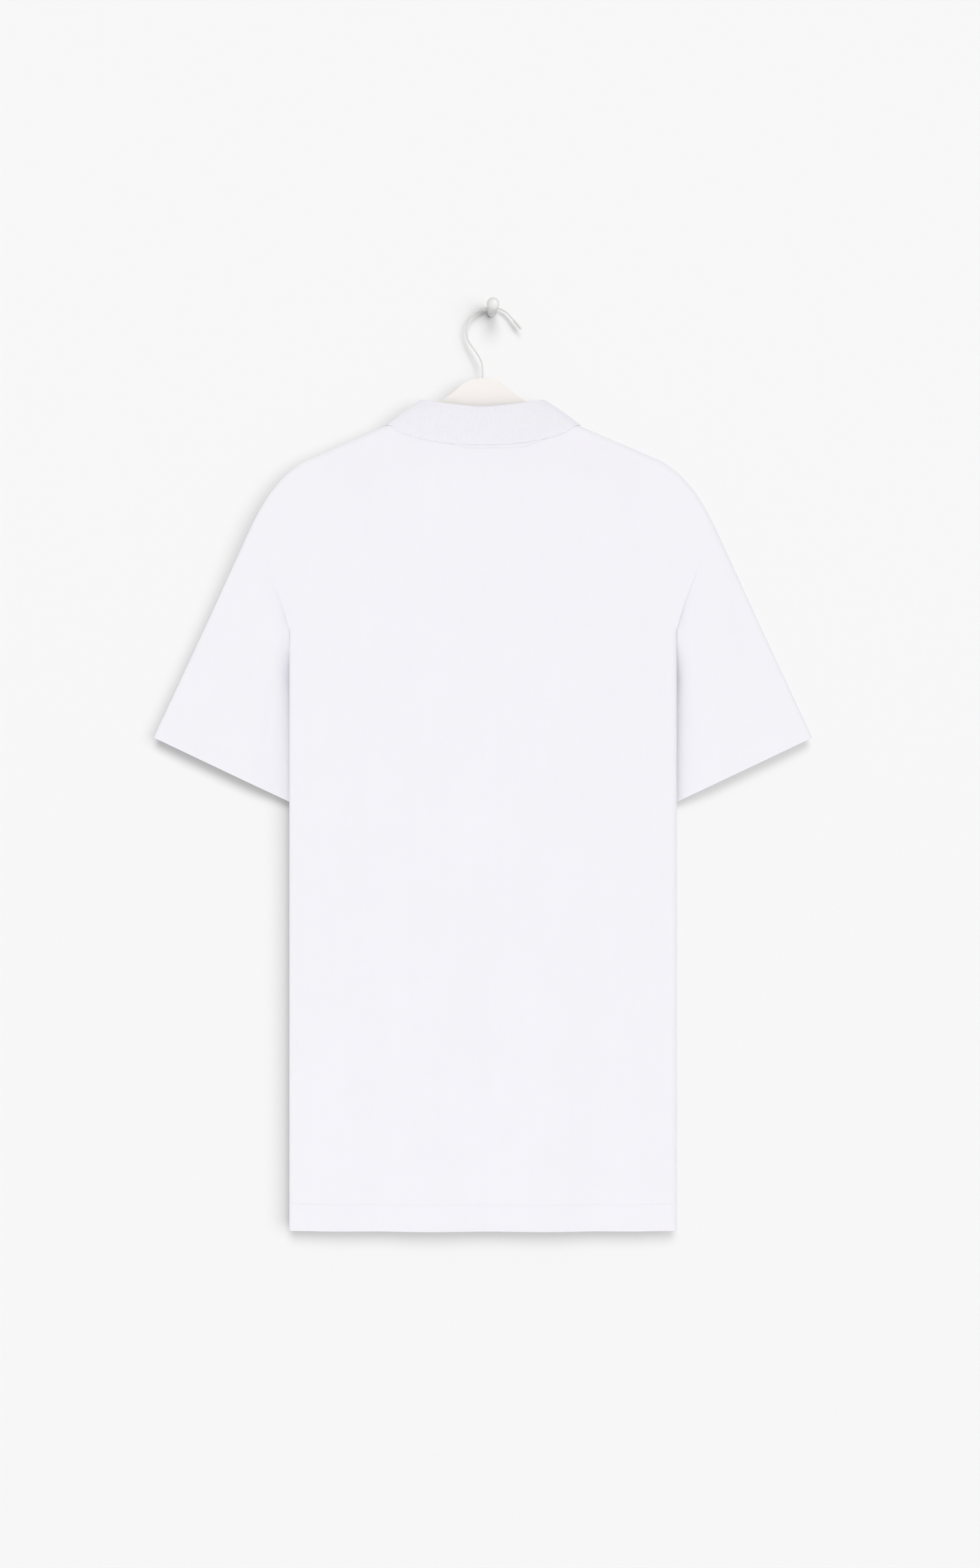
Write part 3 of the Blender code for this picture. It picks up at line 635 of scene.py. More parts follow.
class Finish:
    """A material that is built up from nodes."""

    def __init__(self, name):
        self.material = bpy.data.materials.new(name)
        self.material.use_nodes = True
        self.tree = self.material.node_tree
        self.shader = self.tree.nodes["Principled BSDF"]

    def node(self, kind, settings, *inputs, out=0, **named):
        """Adds a node, sets it, and gives its sockets values or links."""
        node = self.tree.nodes.new(kind)
        for key, value in settings.items():
            setattr(node, key, value)
        for place_, value in [*enumerate(inputs), *named.items()]:
            socket = node.inputs[place_.replace("_", " ") if isinstance(place_, str) else place_]
            self.feed(socket, value)
        return Value(self, node.outputs[out])

    def feed(self, socket, value):
        if isinstance(value, Value):
            self.tree.links.new(value.socket, socket)
        elif value is not None:
            socket.default_value = value

    def set(self, **values):
        """Sets the main shader's sockets, such as Base_Color, by value or link."""
        for key, value in values.items():
            self.feed(self.shader.inputs[key.replace("_", " ")], value)

    def tint(self, amount, dark, light):
        """A colour between two, by an amount from 0 to 1."""
        settings = {"data_type": "RGBA"}
        node = self.tree.nodes.new("ShaderNodeMix")
        node.data_type = settings["data_type"]
        self.feed(node.inputs["Factor"], amount)
        self.feed(node.inputs[6], (*dark, 1.0))
        self.feed(node.inputs[7], (*light, 1.0))
        return Value(self, node.outputs[2])

    def object_place(self):
        return self.node("ShaderNodeTexCoord", {}, out="Object")

    def cloth_map(self):
        """Distance across and down the cloth, in metres, from the piece's own map."""
        place_ = self.node("ShaderNodeUVMap", {"uv_map": "UVMap"})
        across = self.node("ShaderNodeSeparateXYZ", {}, place_, out="X")
        down = self.node("ShaderNodeSeparateXYZ", {}, place_, out="Y")
        return across, down

    def noise(self, place_, scale, detail=2.0, roughness=0.5):
        return self.node(
            "ShaderNodeTexNoise", {}, Vector=place_, Scale=scale, Detail=detail, Roughness=roughness
        )

    def bump(self, height, distance, strength=1.0):
        """Feeds a height of 0 to 1 into the shader's normal. distance is in metres."""
        normal = self.node("ShaderNodeBump", {}, Height=height, Distance=distance, Strength=strength)
        self.set(Normal=normal)


def scaled(rgb, factor):
    return tuple(min(channel * factor, 1.0) for channel in rgb)


def jersey_finish(name, looks):
    """Fine plain jersey: columns of small V stitches, a soft nap and hardly any gloss; the stitches' low places are
    painted darker as shade, besides random tone.
    """
    finish = Finish(name)
    across, down = finish.cloth_map()
    wale = across * (2 * math.pi / looks.wale_pitch)
    course = down * (2 * math.pi / looks.course_pitch)
    arm = (wale * 0.5).sine().absolute()
    loops = (course + arm * 2.2).sine() * 0.35 + arm * 0.65
    place_ = finish.object_place()
    fuzz = finish.noise(place_, 900.0, 3.0)
    cloud = finish.noise(place_, 14.0, 3.0)
    drawn = finish.node("ShaderNodeMapping", {}, Vector=place_, Scale=(1.0, 1.0, 0.1))
    streak = finish.noise(drawn, 70.0, 3.0)
    height = loops * 0.7 + fuzz * 0.6
    finish.bump(height, 0.00008, 0.55)
    # Partly painted shade: the knit's low places are darker in colour; the cloud, the fuzz and the faint vertical
    # streaks give random tone.
    tone_and_painted_shade = (height * 0.3 + cloud * 0.4 + streak * 0.3).clamped()
    dark, light = scaled(looks.jersey_colour, 0.975), scaled(looks.jersey_colour, 1.025)
    finish.set(Base_Color=finish.tint(tone_and_painted_shade, dark, light), Roughness=0.86 + fuzz * 0.08)
    finish.set(Sheen_Weight=looks.softness, Sheen_Roughness=0.55, Specular_IOR_Level=0.25)
    return finish.material


def rib_finish(name, looks):
    """Flat-knit rib, whose ribs are in the mesh and whose stitches are in the finish; its colour is also painted
    darker between the ribs as shade.
    """
    finish = Finish(name)
    across, down = finish.cloth_map()
    rib = (across * (2 * math.pi / looks.rib_pitch)).cosine() * 0.5 + 0.5
    course = (down * (2 * math.pi / 0.0012)).sine() * 0.5 + 0.5
    fuzz = finish.noise(finish.object_place(), 900.0, 3.0)
    finish.bump(rib * 0.8 + course * 0.25 + fuzz * 0.3, 0.00016, 0.6)
    # Painted shade: the colour is lighter on the ribs and darker in the valleys between them, with random tone from
    # the fuzz.
    dark, light = scaled(looks.rib_colour, 0.978), scaled(looks.rib_colour, 1.02)
    tone_and_painted_shade = (rib * 0.6 + fuzz * 0.4).clamped()
    finish.set(Base_Color=finish.tint(tone_and_painted_shade, dark, light), Roughness=0.88 + fuzz * 0.06)
    finish.set(Sheen_Weight=looks.softness, Sheen_Roughness=0.55, Specular_IOR_Level=0.25)
    return finish.material


def thread_finish(looks):
    """Spun thread with a fine fuzzy grain."""
    finish = Finish("thread")
    place_ = finish.object_place()
    fuzz = finish.noise(place_, 2500.0, 2.0)
    dark, light = scaled(looks.thread_colour, 0.94), scaled(looks.thread_colour, 1.04)
    finish.set(Base_Color=finish.tint(fuzz, dark, light), Roughness=0.6 + fuzz * 0.2)
    finish.bump(fuzz, 0.00004)
    finish.set(Sheen_Weight=0.1)
    return finish.material


def plastic_finish(name, rgb, roughness, grain, coat=0.0, rim=0.0):
    """Moulded plastic with a faint orange-peel and a little wear in its gloss. rim paints shade into the colour where
    the surface is seen edge on, a painted dark outline."""
    finish = Finish(name)
    place_ = finish.object_place()
    peel = finish.noise(place_, grain, 3.0)
    cloud = finish.noise(place_, 30.0, 2.0)
    finish.bump(peel, 0.00003, 0.5)
    if rim:
        # Painted shade: the colour is darkened where the surface turns edge on, drawing a dark outline.
        edge = finish.node("ShaderNodeLayerWeight", {}, Blend=0.5, out="Facing")
        finish.set(Base_Color=finish.tint(edge * edge * rim + cloud * 0.1, rgb, scaled(rgb, 0.1)))
    else:
        finish.set(Base_Color=finish.tint(cloud, scaled(rgb, 0.975), scaled(rgb, 1.02)))
    finish.set(Roughness=roughness + (peel - 0.5) * 0.12 + (cloud - 0.5) * 0.06)
    finish.set(Coat_Weight=coat, Coat_Roughness=0.12)
    return finish.material


def wire_finish(looks):
    """Lacquered wire, with the lacquer's fine grain."""
    finish = Finish("hook_wire")
    place_ = finish.object_place()
    grain = finish.noise(place_, 1400.0, 2.0)
    finish.set(Base_Color=finish.tint(grain, scaled(looks.wire_colour, 0.93), scaled(looks.wire_colour, 1.05)))
    finish.set(Roughness=0.3 + grain * 0.15, Metallic=0.15, Coat_Weight=0.3, Coat_Roughness=0.15)
    finish.bump(grain, 0.00002)
    return finish.material


def clear_finish(looks):
    """Clear soft plastic: see-through in the middle, denser where it is seen edge on."""
    finish = Finish("hook_tip")
    cloud = finish.noise(finish.object_place(), 260.0, 2.0)
    edge = finish.node("ShaderNodeLayerWeight", {}, Blend=0.45, out="Facing")
    finish.set(Base_Color=finish.tint(cloud, scaled(looks.tip_colour, 0.95), looks.tip_colour))
    finish.set(Roughness=0.12 + cloud * 0.08, Alpha=(0.04 + edge * edge * edge * 0.95 + cloud * 0.03).clamped())
    finish.set(IOR=1.49, Coat_Weight=0.6)
    return finish.material


def plain_finish(name, rgb):
    """A matt stage colour."""
    finish = Finish(name)
    finish.set(Base_Color=(*rgb, 1.0), Roughness=1.0, Specular_IOR_Level=0.0)
    return finish.material


# ---- back and front ----
def panel_columns(cut, side):
    """Places along the top edge, close together at the side folds and at the neck points."""
    shoulder = cut.shoulder_x - cut.neck_x
    outer = [cut.shoulder_x - run for run in spaced(shoulder - 2.0, 4.0)]
    inner = [cut.neck_x - run for run in spaced(cut.neck_x - SLIT_HALF, 4.0, (0.0, 0.4, 1.2, 2.4, 4.0))]
    right = sorted({round(x, 4) for x in [*outer, *inner]})
    middle = [] if side > 0 else [0.0]
    return np.array([-x for x in reversed(right)] + middle + right)


def panel_piece(cut, name, side, material):
    columns = panel_columns(cut, side)
    hem_line = cut.hem_z + cut.hem_depth
    top = np.where(
        np.abs(columns) < cut.neck_x, cut.neckline(columns, side), cut.shoulder_height(np.abs(columns))
    )
    drop = cut.shoulder_z - hem_line
    body = spaced(drop, 4.0, NECK_TOP)
    body = np.array(sorted({*body, *(drop - run for run in (0.8, 1.6, 2.6))})) / drop
    level = mix(cut.shoulder_z, hem_line, body)
    x = columns[None, :] / cut.shoulder_x * cut.side_width(level)[:, None]
    z = mix(top[None, :], hem_line, body[:, None])
    hem_steps = np.array([0.6, 1.2, 2.4, 4.2, 7.0, 11.0, 16.0, 21.0, 26.0, 29.0, cut.hem_depth])
    hem_x = np.repeat(x[-1:], len(hem_steps), axis=0)
    hem_z = np.repeat((hem_line - hem_steps)[:, None], len(columns), axis=1)
    x, z = np.concatenate([x, hem_x]), np.concatenate([z, hem_z])
    raised = HEM_RAISE * smooth((hem_line + 1.0 - z) / 2.5) - STITCH_SINK * bell((z - hem_line) / 1.1)
    if side < 0:
        below = neck_stitch_line(cut, x) - z
        reach = smooth((x - NECK_STITCH_ENDS[0]) / 12) * smooth((NECK_STITCH_ENDS[1] - x) / 12)
        raised = raised + reach * (0.3 * bell((below - 2.0) / 1.2) - 0.25 * bell((below - NECK_STITCH_BELOW) / 0.6))
    armhole = cut.side_width(z) - np.abs(x)
    lower = smooth((z - cut.armpit_z) / 20) * smooth((cut.shoulder_z - 20 - z) / 70)
    raised = raised + 0.25 * smooth((9 - armhole) / 3) * lower
    points = cut.placed(cut.on_panel(x, z, side, raised))
    flat_map = np.stack([x, z], axis=-1) * MM
    missing = None
    if side > 0:
        middle = len(columns) // 2 - 1
        slit_end = cut.neckline(0.0, 1) - PLACKET_LENGTH + SLIT_SHORTER
        last = len(columns) - 2 - middle
        missing = {(i, last) for i in range(len(z) - 1) if z[i + 1, middle] > slit_end}
        points, flat_map = points[:, ::-1], flat_map[:, ::-1]
    hem_rows = len(hem_steps)
    points = with_turned_hem(points, hem_rows)
    extra = len(points) - len(flat_map)
    below = flat_map[-1:] - np.array([[[0.0, MM]]]) * np.arange(1, extra + 1)[:, None, None]
    flat_map = np.concatenate([flat_map, below])
    return sheet_piece(name, points, cut.jersey_wall, flat_map, missing)


# ---- sleeves ----
def sleeve_points(cut, width, run, layer):
    """Sleeve points: width 0 is its outer fold and 1 the fold under the arm, run goes from the armhole to the
    cuff, and layer is -1 on the back and 1 on the front."""
    start_x, start_z = cut.armhole(width)
    end_x = cut.cuff_x - cut.cuff_width * width * math.cos(CUFF_SLOPE)
    end_z = cut.cuff_z - cut.cuff_width * width * math.sin(CUFF_SLOPE)
    x, z = mix(start_x, end_x, run), mix(start_z, end_z, run)
    tuck = smooth((width - 0.58) / 0.33)
    tucked_by = mix(TUCKED_BY, UNDERARM_TUCKED_BY, smooth((width - 0.88) / 0.08))
    middle = SLEEVE_SET_BACK * smooth(run / 0.5) * (1 - tuck) + TUCK * tuck * smooth(run / tucked_by)
    seam = math.dist(cut.armhole(0.0), cut.armhole(1.0))
    across = mix(seam, cut.cuff_width, run)
    outer_end, inner_end = width * across, (1 - width) * across
    own = SLEEVE_EDGE_DEPTH * rounded(outer_end / SLEEVE_EDGE_DEPTH) + SLEEVE_SWELL * smooth(outer_end / 40)
    own = own * rounded(inner_end / UNDERARM_ROUND) * mix(UNDERARM_THIN, 1.0, smooth(inner_end / 45))
    at_seam = np.where(layer < 0, cut.depth(start_x, start_z, -1), cut.depth(start_x, start_z, 1))
    at_seam = np.maximum(at_seam - mix(0.1, SLEEVE_UNDER_PANEL, smooth((width - 0.3) / 0.4)), 0.0)
    own = own + sleeve_folds(width, run, layer) * smooth(np.minimum(outer_end, inner_end) / 25)
    depth = mix(at_seam, own, smooth(run / tucked_by))
    drawn_in = tuck_depth(x, z) * smooth(run / 0.012)
    above = np.where(layer > 0, smooth((z - cut.armpit_z + 16) / 16), 0.0)
    y = middle + layer * depth + drawn_in * (1 - 2 * above)
    under = SEAM_OVERLAP * (1 - smooth(run / 0.006))
    fold = 1 - smooth(width / 0.08)
    x = np.maximum(x, body_side(cut, middle - depth)) - under * mix(1.0, math.sin(SLEEVE_HANG), fold)
    return np.stack([x, cut.middle_y + y, z + under * math.cos(SLEEVE_HANG) * fold], axis=-1)


def body_side(cut, behind):
    """How far out a sleeve has to stay beside the body's side fold, at a distance behind the middle plane."""
    turn = np.clip((behind - CLEAR_OF_BODY) / cut.edge_depth, 0.0, 1.0)
    beside = cut.half_width + mix(-SIDE_OVERLAP, CLEAR_OF_BODY, turn) - EDGE_ROUND * (1 - np.sqrt(1 - turn**2))
    return np.where(behind > cut.edge_depth + CLEAR_OF_BODY, 0.0, beside)


# Sleeve folds: across the sleeve (0 to 1), from and to along it (0 to 1), half width, and how far out.
SLEEVE_FOLD_COLUMNS = ("across", "begins", "ends", "half_width", "out")
TUCK_DEPTH = 3.3
TUCK_LINE = ((-455.0, 223.0), (-381.0, 224.5), (-358.0, 228.5), (-336.0, 236.5), (-313.0, 246.0), (-291.0, 254.5))
SLEEVE_FOLDS = (
    (0.22, 0.15, 0.95, 0.050, 0.55),
    (0.37, 0.30, 1.05, 0.045, -0.50),
    (0.52, 0.10, 0.90, 0.060, 0.60),
    (0.66, 0.35, 1.05, 0.040, -0.45),
)


def sleeve_folds(width, run, layer):
    total = np.zeros(np.broadcast(width, run, layer).shape)
    for fold in rows_of(SLEEVE_FOLDS, SLEEVE_FOLD_COLUMNS):
        shift = 0.04 * (layer > 0)
        fade = smooth((run - fold["begins"]) / 0.25) * smooth((fold["ends"] - run) / 0.2)
        total = total + fold["out"] * bell((width - fold["across"] - shift) / fold["half_width"]) * fade
    return total


def tuck_depth(x, z):
    """The cloth drawn in beside the body's edge, along a short crease that runs up and out from the armpit."""
    heights, places = np.array(TUCK_LINE).T
    beyond = x - np.interp(z, heights, places)
    fade = smooth((heights[-1] - z) / 75) * smooth((z - heights[0]) / 60)
    return TUCK_DEPTH * fade * smooth((beyond + 0.6) / 1.6) * np.exp(-np.maximum(beyond, 0) / 8)


def sleeve_piece(cut, name, hand):
    """hand is 1 for the sleeve at +X and -1 for the one at -X."""
    edge = [0.0, 0.0008, 0.003, 0.007, 0.013, 0.022, 0.034]
    across = [*np.linspace(0.05, 0.62, 30), *np.linspace(0.63, 0.95, 50)]
    widths = np.array([*edge, *across, *[1 - value for value in reversed(edge)]])
    ring = np.concatenate([widths, widths[-2::-1]])
    layer = np.concatenate([-np.ones(len(widths)), np.ones(len(widths) - 1)])
    outer = math.dist(cut.armhole(0.0), (cut.cuff_x, cut.cuff_z))
    hem_start = 1 - cut.cuff_hem / outer
    body = [0.0, 0.002, 0.004, 0.006, 0.01, 0.016, *np.linspace(0.022, 0.5, 84)]
    body = [*body, *np.linspace(0.516, hem_start - 0.008, 30)]
    hem = [hem_start, hem_start + 0.006, hem_start + 0.02, *np.linspace(hem_start + 0.04, 1.0, 4)]
    run = np.array([*body, *hem])
    points = sleeve_points(cut, ring[None, :], run[:, None], layer[None, :])
    ridge = CUFF_RIDGE * smooth((run - hem_start + 0.004) / 0.008) - CUFF_GROOVE * bell((run - hem_start) / 0.004)
    points = points[:, ::-1] if hand > 0 else points * np.array([-1.0, 1.0, 1.0])
    points = points + grid_normals(points) * ridge[:, None, None]
    points = with_turned_hem(cut.placed(points), len(hem))
    return sheet_piece(name, points, cut.jersey_wall, closed=True)


# ---- collar ----
def neck_seam(cut, angle):
    """The neck seam at an angle round the neck: 0 at the back, 90 degrees on the shoulder, 180 in front."""
    x = cut.neck_x * np.sin(angle)
    back = cut.on_panel(x, cut.neckline(x, -1), -1)
    front = cut.on_panel(x, cut.neckline(x, 1), 1)
    return np.where((angle < math.pi / 2)[:, None], back, front)


def collar_fold(cut, angle):
    x = FOLD_HALF_WIDTH * np.sin(angle)
    back = mix(FOLD_BACK_Z, FOLD_SIDE_Z, np.abs(np.sin(angle)) ** 1.5)
    front = mix(FOLD_SIDE_Z, FOLD_FRONT_Z, np.abs(np.sin(np.maximum(angle - math.pi / 2, 0))) ** 1.5)
    swing = np.cos(angle)
    y = cut.middle_y - np.copysign(FOLD_DEPTH * np.abs(swing) ** 0.6, swing)
    return np.stack([x, y, np.where(angle <= math.pi / 2, back, front)], axis=-1)


def leaf_edge(cut, angle):
    """The leaf's free edge, clear of what it lies on."""
    seam = neck_seam(cut, angle)
    back_x = seam[:, 0] + LEAF_OVERHANG * np.sin(angle)
    amount = np.maximum(angle - math.pi / 2, 0) / (math.pi / 2)
    front_x = mix(cut.neck_x + LEAF_OVERHANG, COLLAR_POINT[0], amount**1.15)
    front_z = mix(cut.neck_z - LEAF_BELOW_SEAM, COLLAR_POINT[1], smooth(amount * 0.5) * 2)
    is_back = angle <= math.pi / 2
    x = np.where(is_back, back_x, front_x)
    z = np.where(is_back, seam[:, 2] - LEAF_BELOW_SEAM, front_z)
    z = np.minimum(z, cut.shoulder_height(x) - LEAF_BELOW_SHOULDER)
    z = z + LEAF_FLIP * bell((x - LEAF_FLIP_X) / 6.5) * is_back
    lift = LEAF_LIFT + LEAF_OVER_PLACKET * smooth(angle - math.pi / 2)
    back, front = cut.off_panel(x, z, -1, lift), cut.off_panel(x, z, 1, lift)
    return np.where(is_back[:, None], back, front)


def collar_grid(cut, angle):
    """Middle line of the collar's cloth at each angle, from the neck seam over the fold to the leaf's edge."""
    seam, fold, leaf = neck_seam(cut, angle), collar_fold(cut, angle), leaf_edge(cut, angle)
    sine, cosine = np.sin(angle), np.cos(angle)
    outward = np.stack([0.57 * sine, -cosine, 0.82 * sine], axis=-1)
    up = unit(fold - seam)
    outward = unit(outward - up * (outward * up).sum(axis=-1, keepdims=True))
    seam = seam + up * COLLAR_SEAM_LIFT - outward * COLLAR_WALL / 2
    top = fold - (up + outward) * FOLD_RADIUS
    turn = top + outward * FOLD_RADIUS
    rows = [mix(seam, top, amount) for amount in np.linspace(0, 1, 9)]
    for degrees in range(20, 180, 20):
        swing = math.radians(degrees)
        rows.append(turn - outward * FOLD_RADIUS * math.cos(swing) + up * FOLD_RADIUS * math.sin(swing))
    start = turn + outward * FOLD_RADIUS
    bulge = outward * 0.9
    for amount in LEAF_ROWS:
        rows.append(mix(start, leaf, amount) + bulge * math.sin(math.pi * amount) * 0.8)
    return np.array(rows)


def collar_piece(cut, looks):
    """The whole collar: its right half is worked out and mirrored, with one rib every few columns."""
    angle = np.linspace(0, math.pi * COLLAR_END, 900)
    leaf = leaf_edge(cut, angle)
    fold = collar_fold(cut, angle)
    track = (leaf + fold) / 2
    run = np.concatenate([[0.0], np.cumsum(np.linalg.norm(np.diff(track, axis=0), axis=1))])
    pitch = looks.rib_pitch / MM
    ribs = int(run[-1] / pitch)
    even = np.linspace(0, run[-1], ribs * RIB_STEPS + 1)
    angle = np.interp(even, run, angle)
    half = collar_grid(cut, angle)
    points = np.concatenate([half[:, :0:-1] * np.array([-1.0, 1.0, 1.0]), half], axis=1)
    along = np.concatenate([-even[:0:-1], even])
    normals = grid_normals(points)
    rib = np.cos(2 * math.pi * along / pitch)
    ends = smooth((even[-1] - np.abs(along)) / 3)
    thick = np.ones(len(points))
    thick[-len(LEAF_EDGE_WALL) :] = LEAF_EDGE_WALL
    rise = thick[:, None] * (COLLAR_WALL / 2 + RIB_HEIGHT * rib * ends)
    points = points + normals * rise[..., None]
    steps = np.linalg.norm(np.diff(points, axis=0), axis=2).mean(axis=1)
    down = np.concatenate([[0.0], np.cumsum(steps)])
    flat_map = np.stack(np.meshgrid(along, -down), axis=-1) * MM
    return sheet_piece("collar_rib", cut.placed(points), COLLAR_WALL, flat_map, thick=thick)


# ---- placket ----
def placket_piece(cut, name, out):
    top = cut.neckline(0.0, 1) - PLACKET_BELOW_NECK
    edge = [0.0, 0.5, 1.2, 2.4]
    z = top - np.array([*edge, *np.linspace(4, PLACKET_LENGTH - 4, 50), *[PLACKET_LENGTH - e for e in edge[::-1]]])
    x = np.array([*edge, *np.linspace(4, 2 * PLACKET_HALF - 4, 12), *[2 * PLACKET_HALF - e for e in edge[::-1]]])
    x = x[::-1] - PLACKET_HALF
    grid_x, grid_z = np.meshgrid(x, z)
    inside = np.minimum(PLACKET_HALF - np.abs(grid_x), grid_z - top + PLACKET_LENGTH)
    crown = 0.3 * rounded(inside / 1.2) - 0.28 * bell((inside - 2.6) / 0.8)
    points = cut.placed(cut.on_panel(grid_x, grid_z, 1, out - 0.3 + crown))
    flat_map = np.stack([grid_x, grid_z], axis=-1) * MM
    return sheet_piece(name, points, PLACKET_CLOTH - 0.35, flat_map)


# ---- stitches ----
def stitch_shape():
    """One short stitch along X, modelled once: a thread that dips in at both ends."""
    deselect_all()
    bpy.ops.mesh.primitive_cylinder_add(vertices=6, radius=1.0, depth=2.0, end_fill_type="NGON")
    piece = bpy.context.object
    mesh = bmesh.new()
    mesh.from_mesh(piece.data)
    bmesh.ops.subdivide_edges(
        mesh, edges=[edge for edge in mesh.edges if abs(edge.verts[0].co.z - edge.verts[1].co.z) > 1], cuts=3
    )
    mesh.verts.ensure_lookup_table()
    points = np.array([vert.co for vert in mesh.verts])
    faces = [[vert.index for vert in face.verts] for face in mesh.faces]
    mesh.free()
    bpy.data.objects.remove(piece, do_unlink=True)
    along = points[:, 2]
    thin = 1 - 0.55 * np.abs(along) ** 3
    return np.stack([along, points[:, 0] * thin, points[:, 1] * thin - 1.1 * along**2 + 0.35], axis=-1), faces


def along_path(path, pitch):
    """Even places and directions along a path."""
    run = np.concatenate([[0.0], np.cumsum(np.linalg.norm(np.diff(path, axis=0), axis=1))])
    count = max(int(run[-1] / pitch), 1)
    even = (np.arange(count) + 0.5) * run[-1] / count
    places = np.stack([np.interp(even, run, path[:, axis]) for axis in range(3)], axis=-1)
    ahead = np.stack([np.interp(even + 0.3, run, path[:, axis]) for axis in range(3)], axis=-1)
    behind = np.stack([np.interp(even - 0.3, run, path[:, axis]) for axis in range(3)], axis=-1)
    return places, unit(ahead - behind)


def stitches_piece(name, paths, outwards, length_=STITCH_LENGTH, pitch=STITCH_PITCH, thread=THREAD_RADIUS):
    """A run of stitches along each path, as one mesh. outwards is the direction the cloth faces."""
    shape, faces = stitch_shape()
    points, all_faces = [], []
    for path, outward in zip(paths, outwards):
        places, along = along_path(np.asarray(path), pitch)
        up = unit(outward - along * (along @ outward)[:, None])
        side = np.cross(up, along)
        for place_, forward, sideways, upward in zip(places, along, side, up):
            base = len(points) * len(shape)
            local = shape * np.array([length_ / 2, thread, thread])
            axes = np.stack([forward, sideways, upward])
            points.append(place_ + local @ axes)
            all_faces += [[base + corner for corner in face] for face in faces]
    data = bpy.data.meshes.new(name)
    data.from_pydata((np.concatenate(points) * MM).tolist(), [], all_faces)
    piece = bpy.data.objects.new(name, data)
    bpy.context.scene.collection.objects.link(piece)
    face_outwards(piece)
    data.shade_smooth()
    return piece


def hem_path(cut, side):
    edge = cut.half_width - 2.0
    x = np.linspace(-edge, edge, 240)
    z = cut.hem_z + cut.hem_depth
    return cut.placed(cut.on_panel(x, np.full_like(x, z), side, -0.02))


def neck_stitch_line(cut, x):
    """Height of the collar leaf's edge on the back, which the neck's topstitching follows from the left end."""
    edge = cut.neckline(x * cut.neck_x / (cut.neck_x + LEAF_OVERHANG), -1) - LEAF_BELOW_SEAM
    under = 1 - smooth((x - NECK_STITCH_ENDS[0]) / 34) * smooth((NECK_STITCH_ENDS[1] - x) / 44)
    return edge + 4.6 * under - 1.2 * bell((x - 48) / 20)


def neck_path(cut):
    x = np.linspace(*NECK_STITCH_ENDS, 160)
    return cut.placed(cut.on_panel(x, neck_stitch_line(cut, x) - NECK_STITCH_BELOW, -1, 0.12))


def placket_paths(cut):
    """Stitching down both edges of the upper strip, across its end and across its box."""
    top = cut.neckline(0.0, 1) - PLACKET_BELOW_NECK
    half, low = PLACKET_HALF - 2.6, top - PLACKET_LENGTH + 2.6
    out = PLACKET_GAP + PLACKET_CLOTH - 0.2
    corners = [
        ((-half, top - 2), (-half, low)),
        ((half, top - 2), (half, low)),
        ((-half, low), (half, low)),
        ((-half, low + 12), (half, low + 12)),
    ]
    paths = []
    for (x0, z0), (x1, z1) in corners:
        amount = np.linspace(0, 1, 60)
        paths.append(cut.placed(cut.on_panel(mix(x0, x1, amount), mix(z0, z1, amount), 1, out)))
    return paths


# ---- buttons ----
def button_piece(cut, name, drop):
    """A dished button with four holes, turned from a round profile and cut through."""
    seat = cut.on_panel(0.0, cut.neckline(0.0, 1) - drop, 1, 2 * PLACKET_GAP + PLACKET_CLOTH)
    deselect_all()
    bpy.ops.mesh.primitive_cylinder_add(vertices=64, radius=BUTTON_RADIUS * MM, depth=1.4 * MM)
    piece = bpy.context.object
    piece.name = piece.data.name = name
    mesh = bmesh.new()
    mesh.from_mesh(piece.data)
    front = max(mesh.faces, key=lambda face: face.calc_center_median().z)
    bmesh.ops.inset_region(mesh, faces=[front], thickness=1.1 * MM)
    bmesh.ops.inset_region(mesh, faces=[front], thickness=0.7 * MM)
    bmesh.ops.translate(mesh, verts=front.verts, vec=(0, 0, -0.55 * MM))
    rim = [edge for edge in mesh.edges if edge.calc_face_angle(0) > math.radians(30)]
    bmesh.ops.bevel(mesh, geom=rim, offset=0.35 * MM, segments=3, affect="EDGES", profile=0.5)
    mesh.to_mesh(piece.data)
    mesh.free()
    cut_holes(piece)
    piece.location = cut.placed(seat) * MM + np.array([0, 0.85 * MM, 0])
    piece.rotation_euler = (-math.pi / 2, 0, 0)
    place(piece)
    bpy.ops.object.shade_smooth_by_angle(angle=math.radians(40))
    return piece


def cut_holes(piece):
    """Four sewing holes through a button."""
    for x, y in ((-1, -1), (-1, 1), (1, -1), (1, 1)):
        deselect_all()
        bpy.ops.mesh.primitive_cylinder_add(
            vertices=16,
            radius=0.72 * MM,
            depth=6 * MM,
            location=(x * BUTTON_HOLE_AT * MM, y * BUTTON_HOLE_AT * MM, 0),
        )
        cutter = bpy.context.object
        hole = piece.modifiers.new("hole", "BOOLEAN")
        hole.operation = "DIFFERENCE"
        hole.solver = "EXACT"
        hole.object = cutter
        activate(piece)
        bpy.ops.object.modifier_apply(modifier=hole.name)
        bpy.data.objects.remove(cutter, do_unlink=True)


def button_threads(cut):
    """Two bars of thread across each button's holes."""
    paths = []
    for drop in BUTTON_DROPS:
        z = cut.neckline(0.0, 1) - drop
        seat = cut.placed(cut.on_panel(0.0, z, 1, 2 * PLACKET_GAP + PLACKET_CLOTH + 1.15))
        for side in (-1, 1):
            start = seat + np.array([-BUTTON_HOLE_AT, 0, side * BUTTON_HOLE_AT])
            end = seat + np.array([BUTTON_HOLE_AT, 0, side * BUTTON_HOLE_AT])
            paths.append([start, end])
    facing = [np.array([0.0, 1.0, 0.0])] * len(paths)
    return stitches_piece("button_thread", paths, facing, 3.3, 2.9, 0.32)


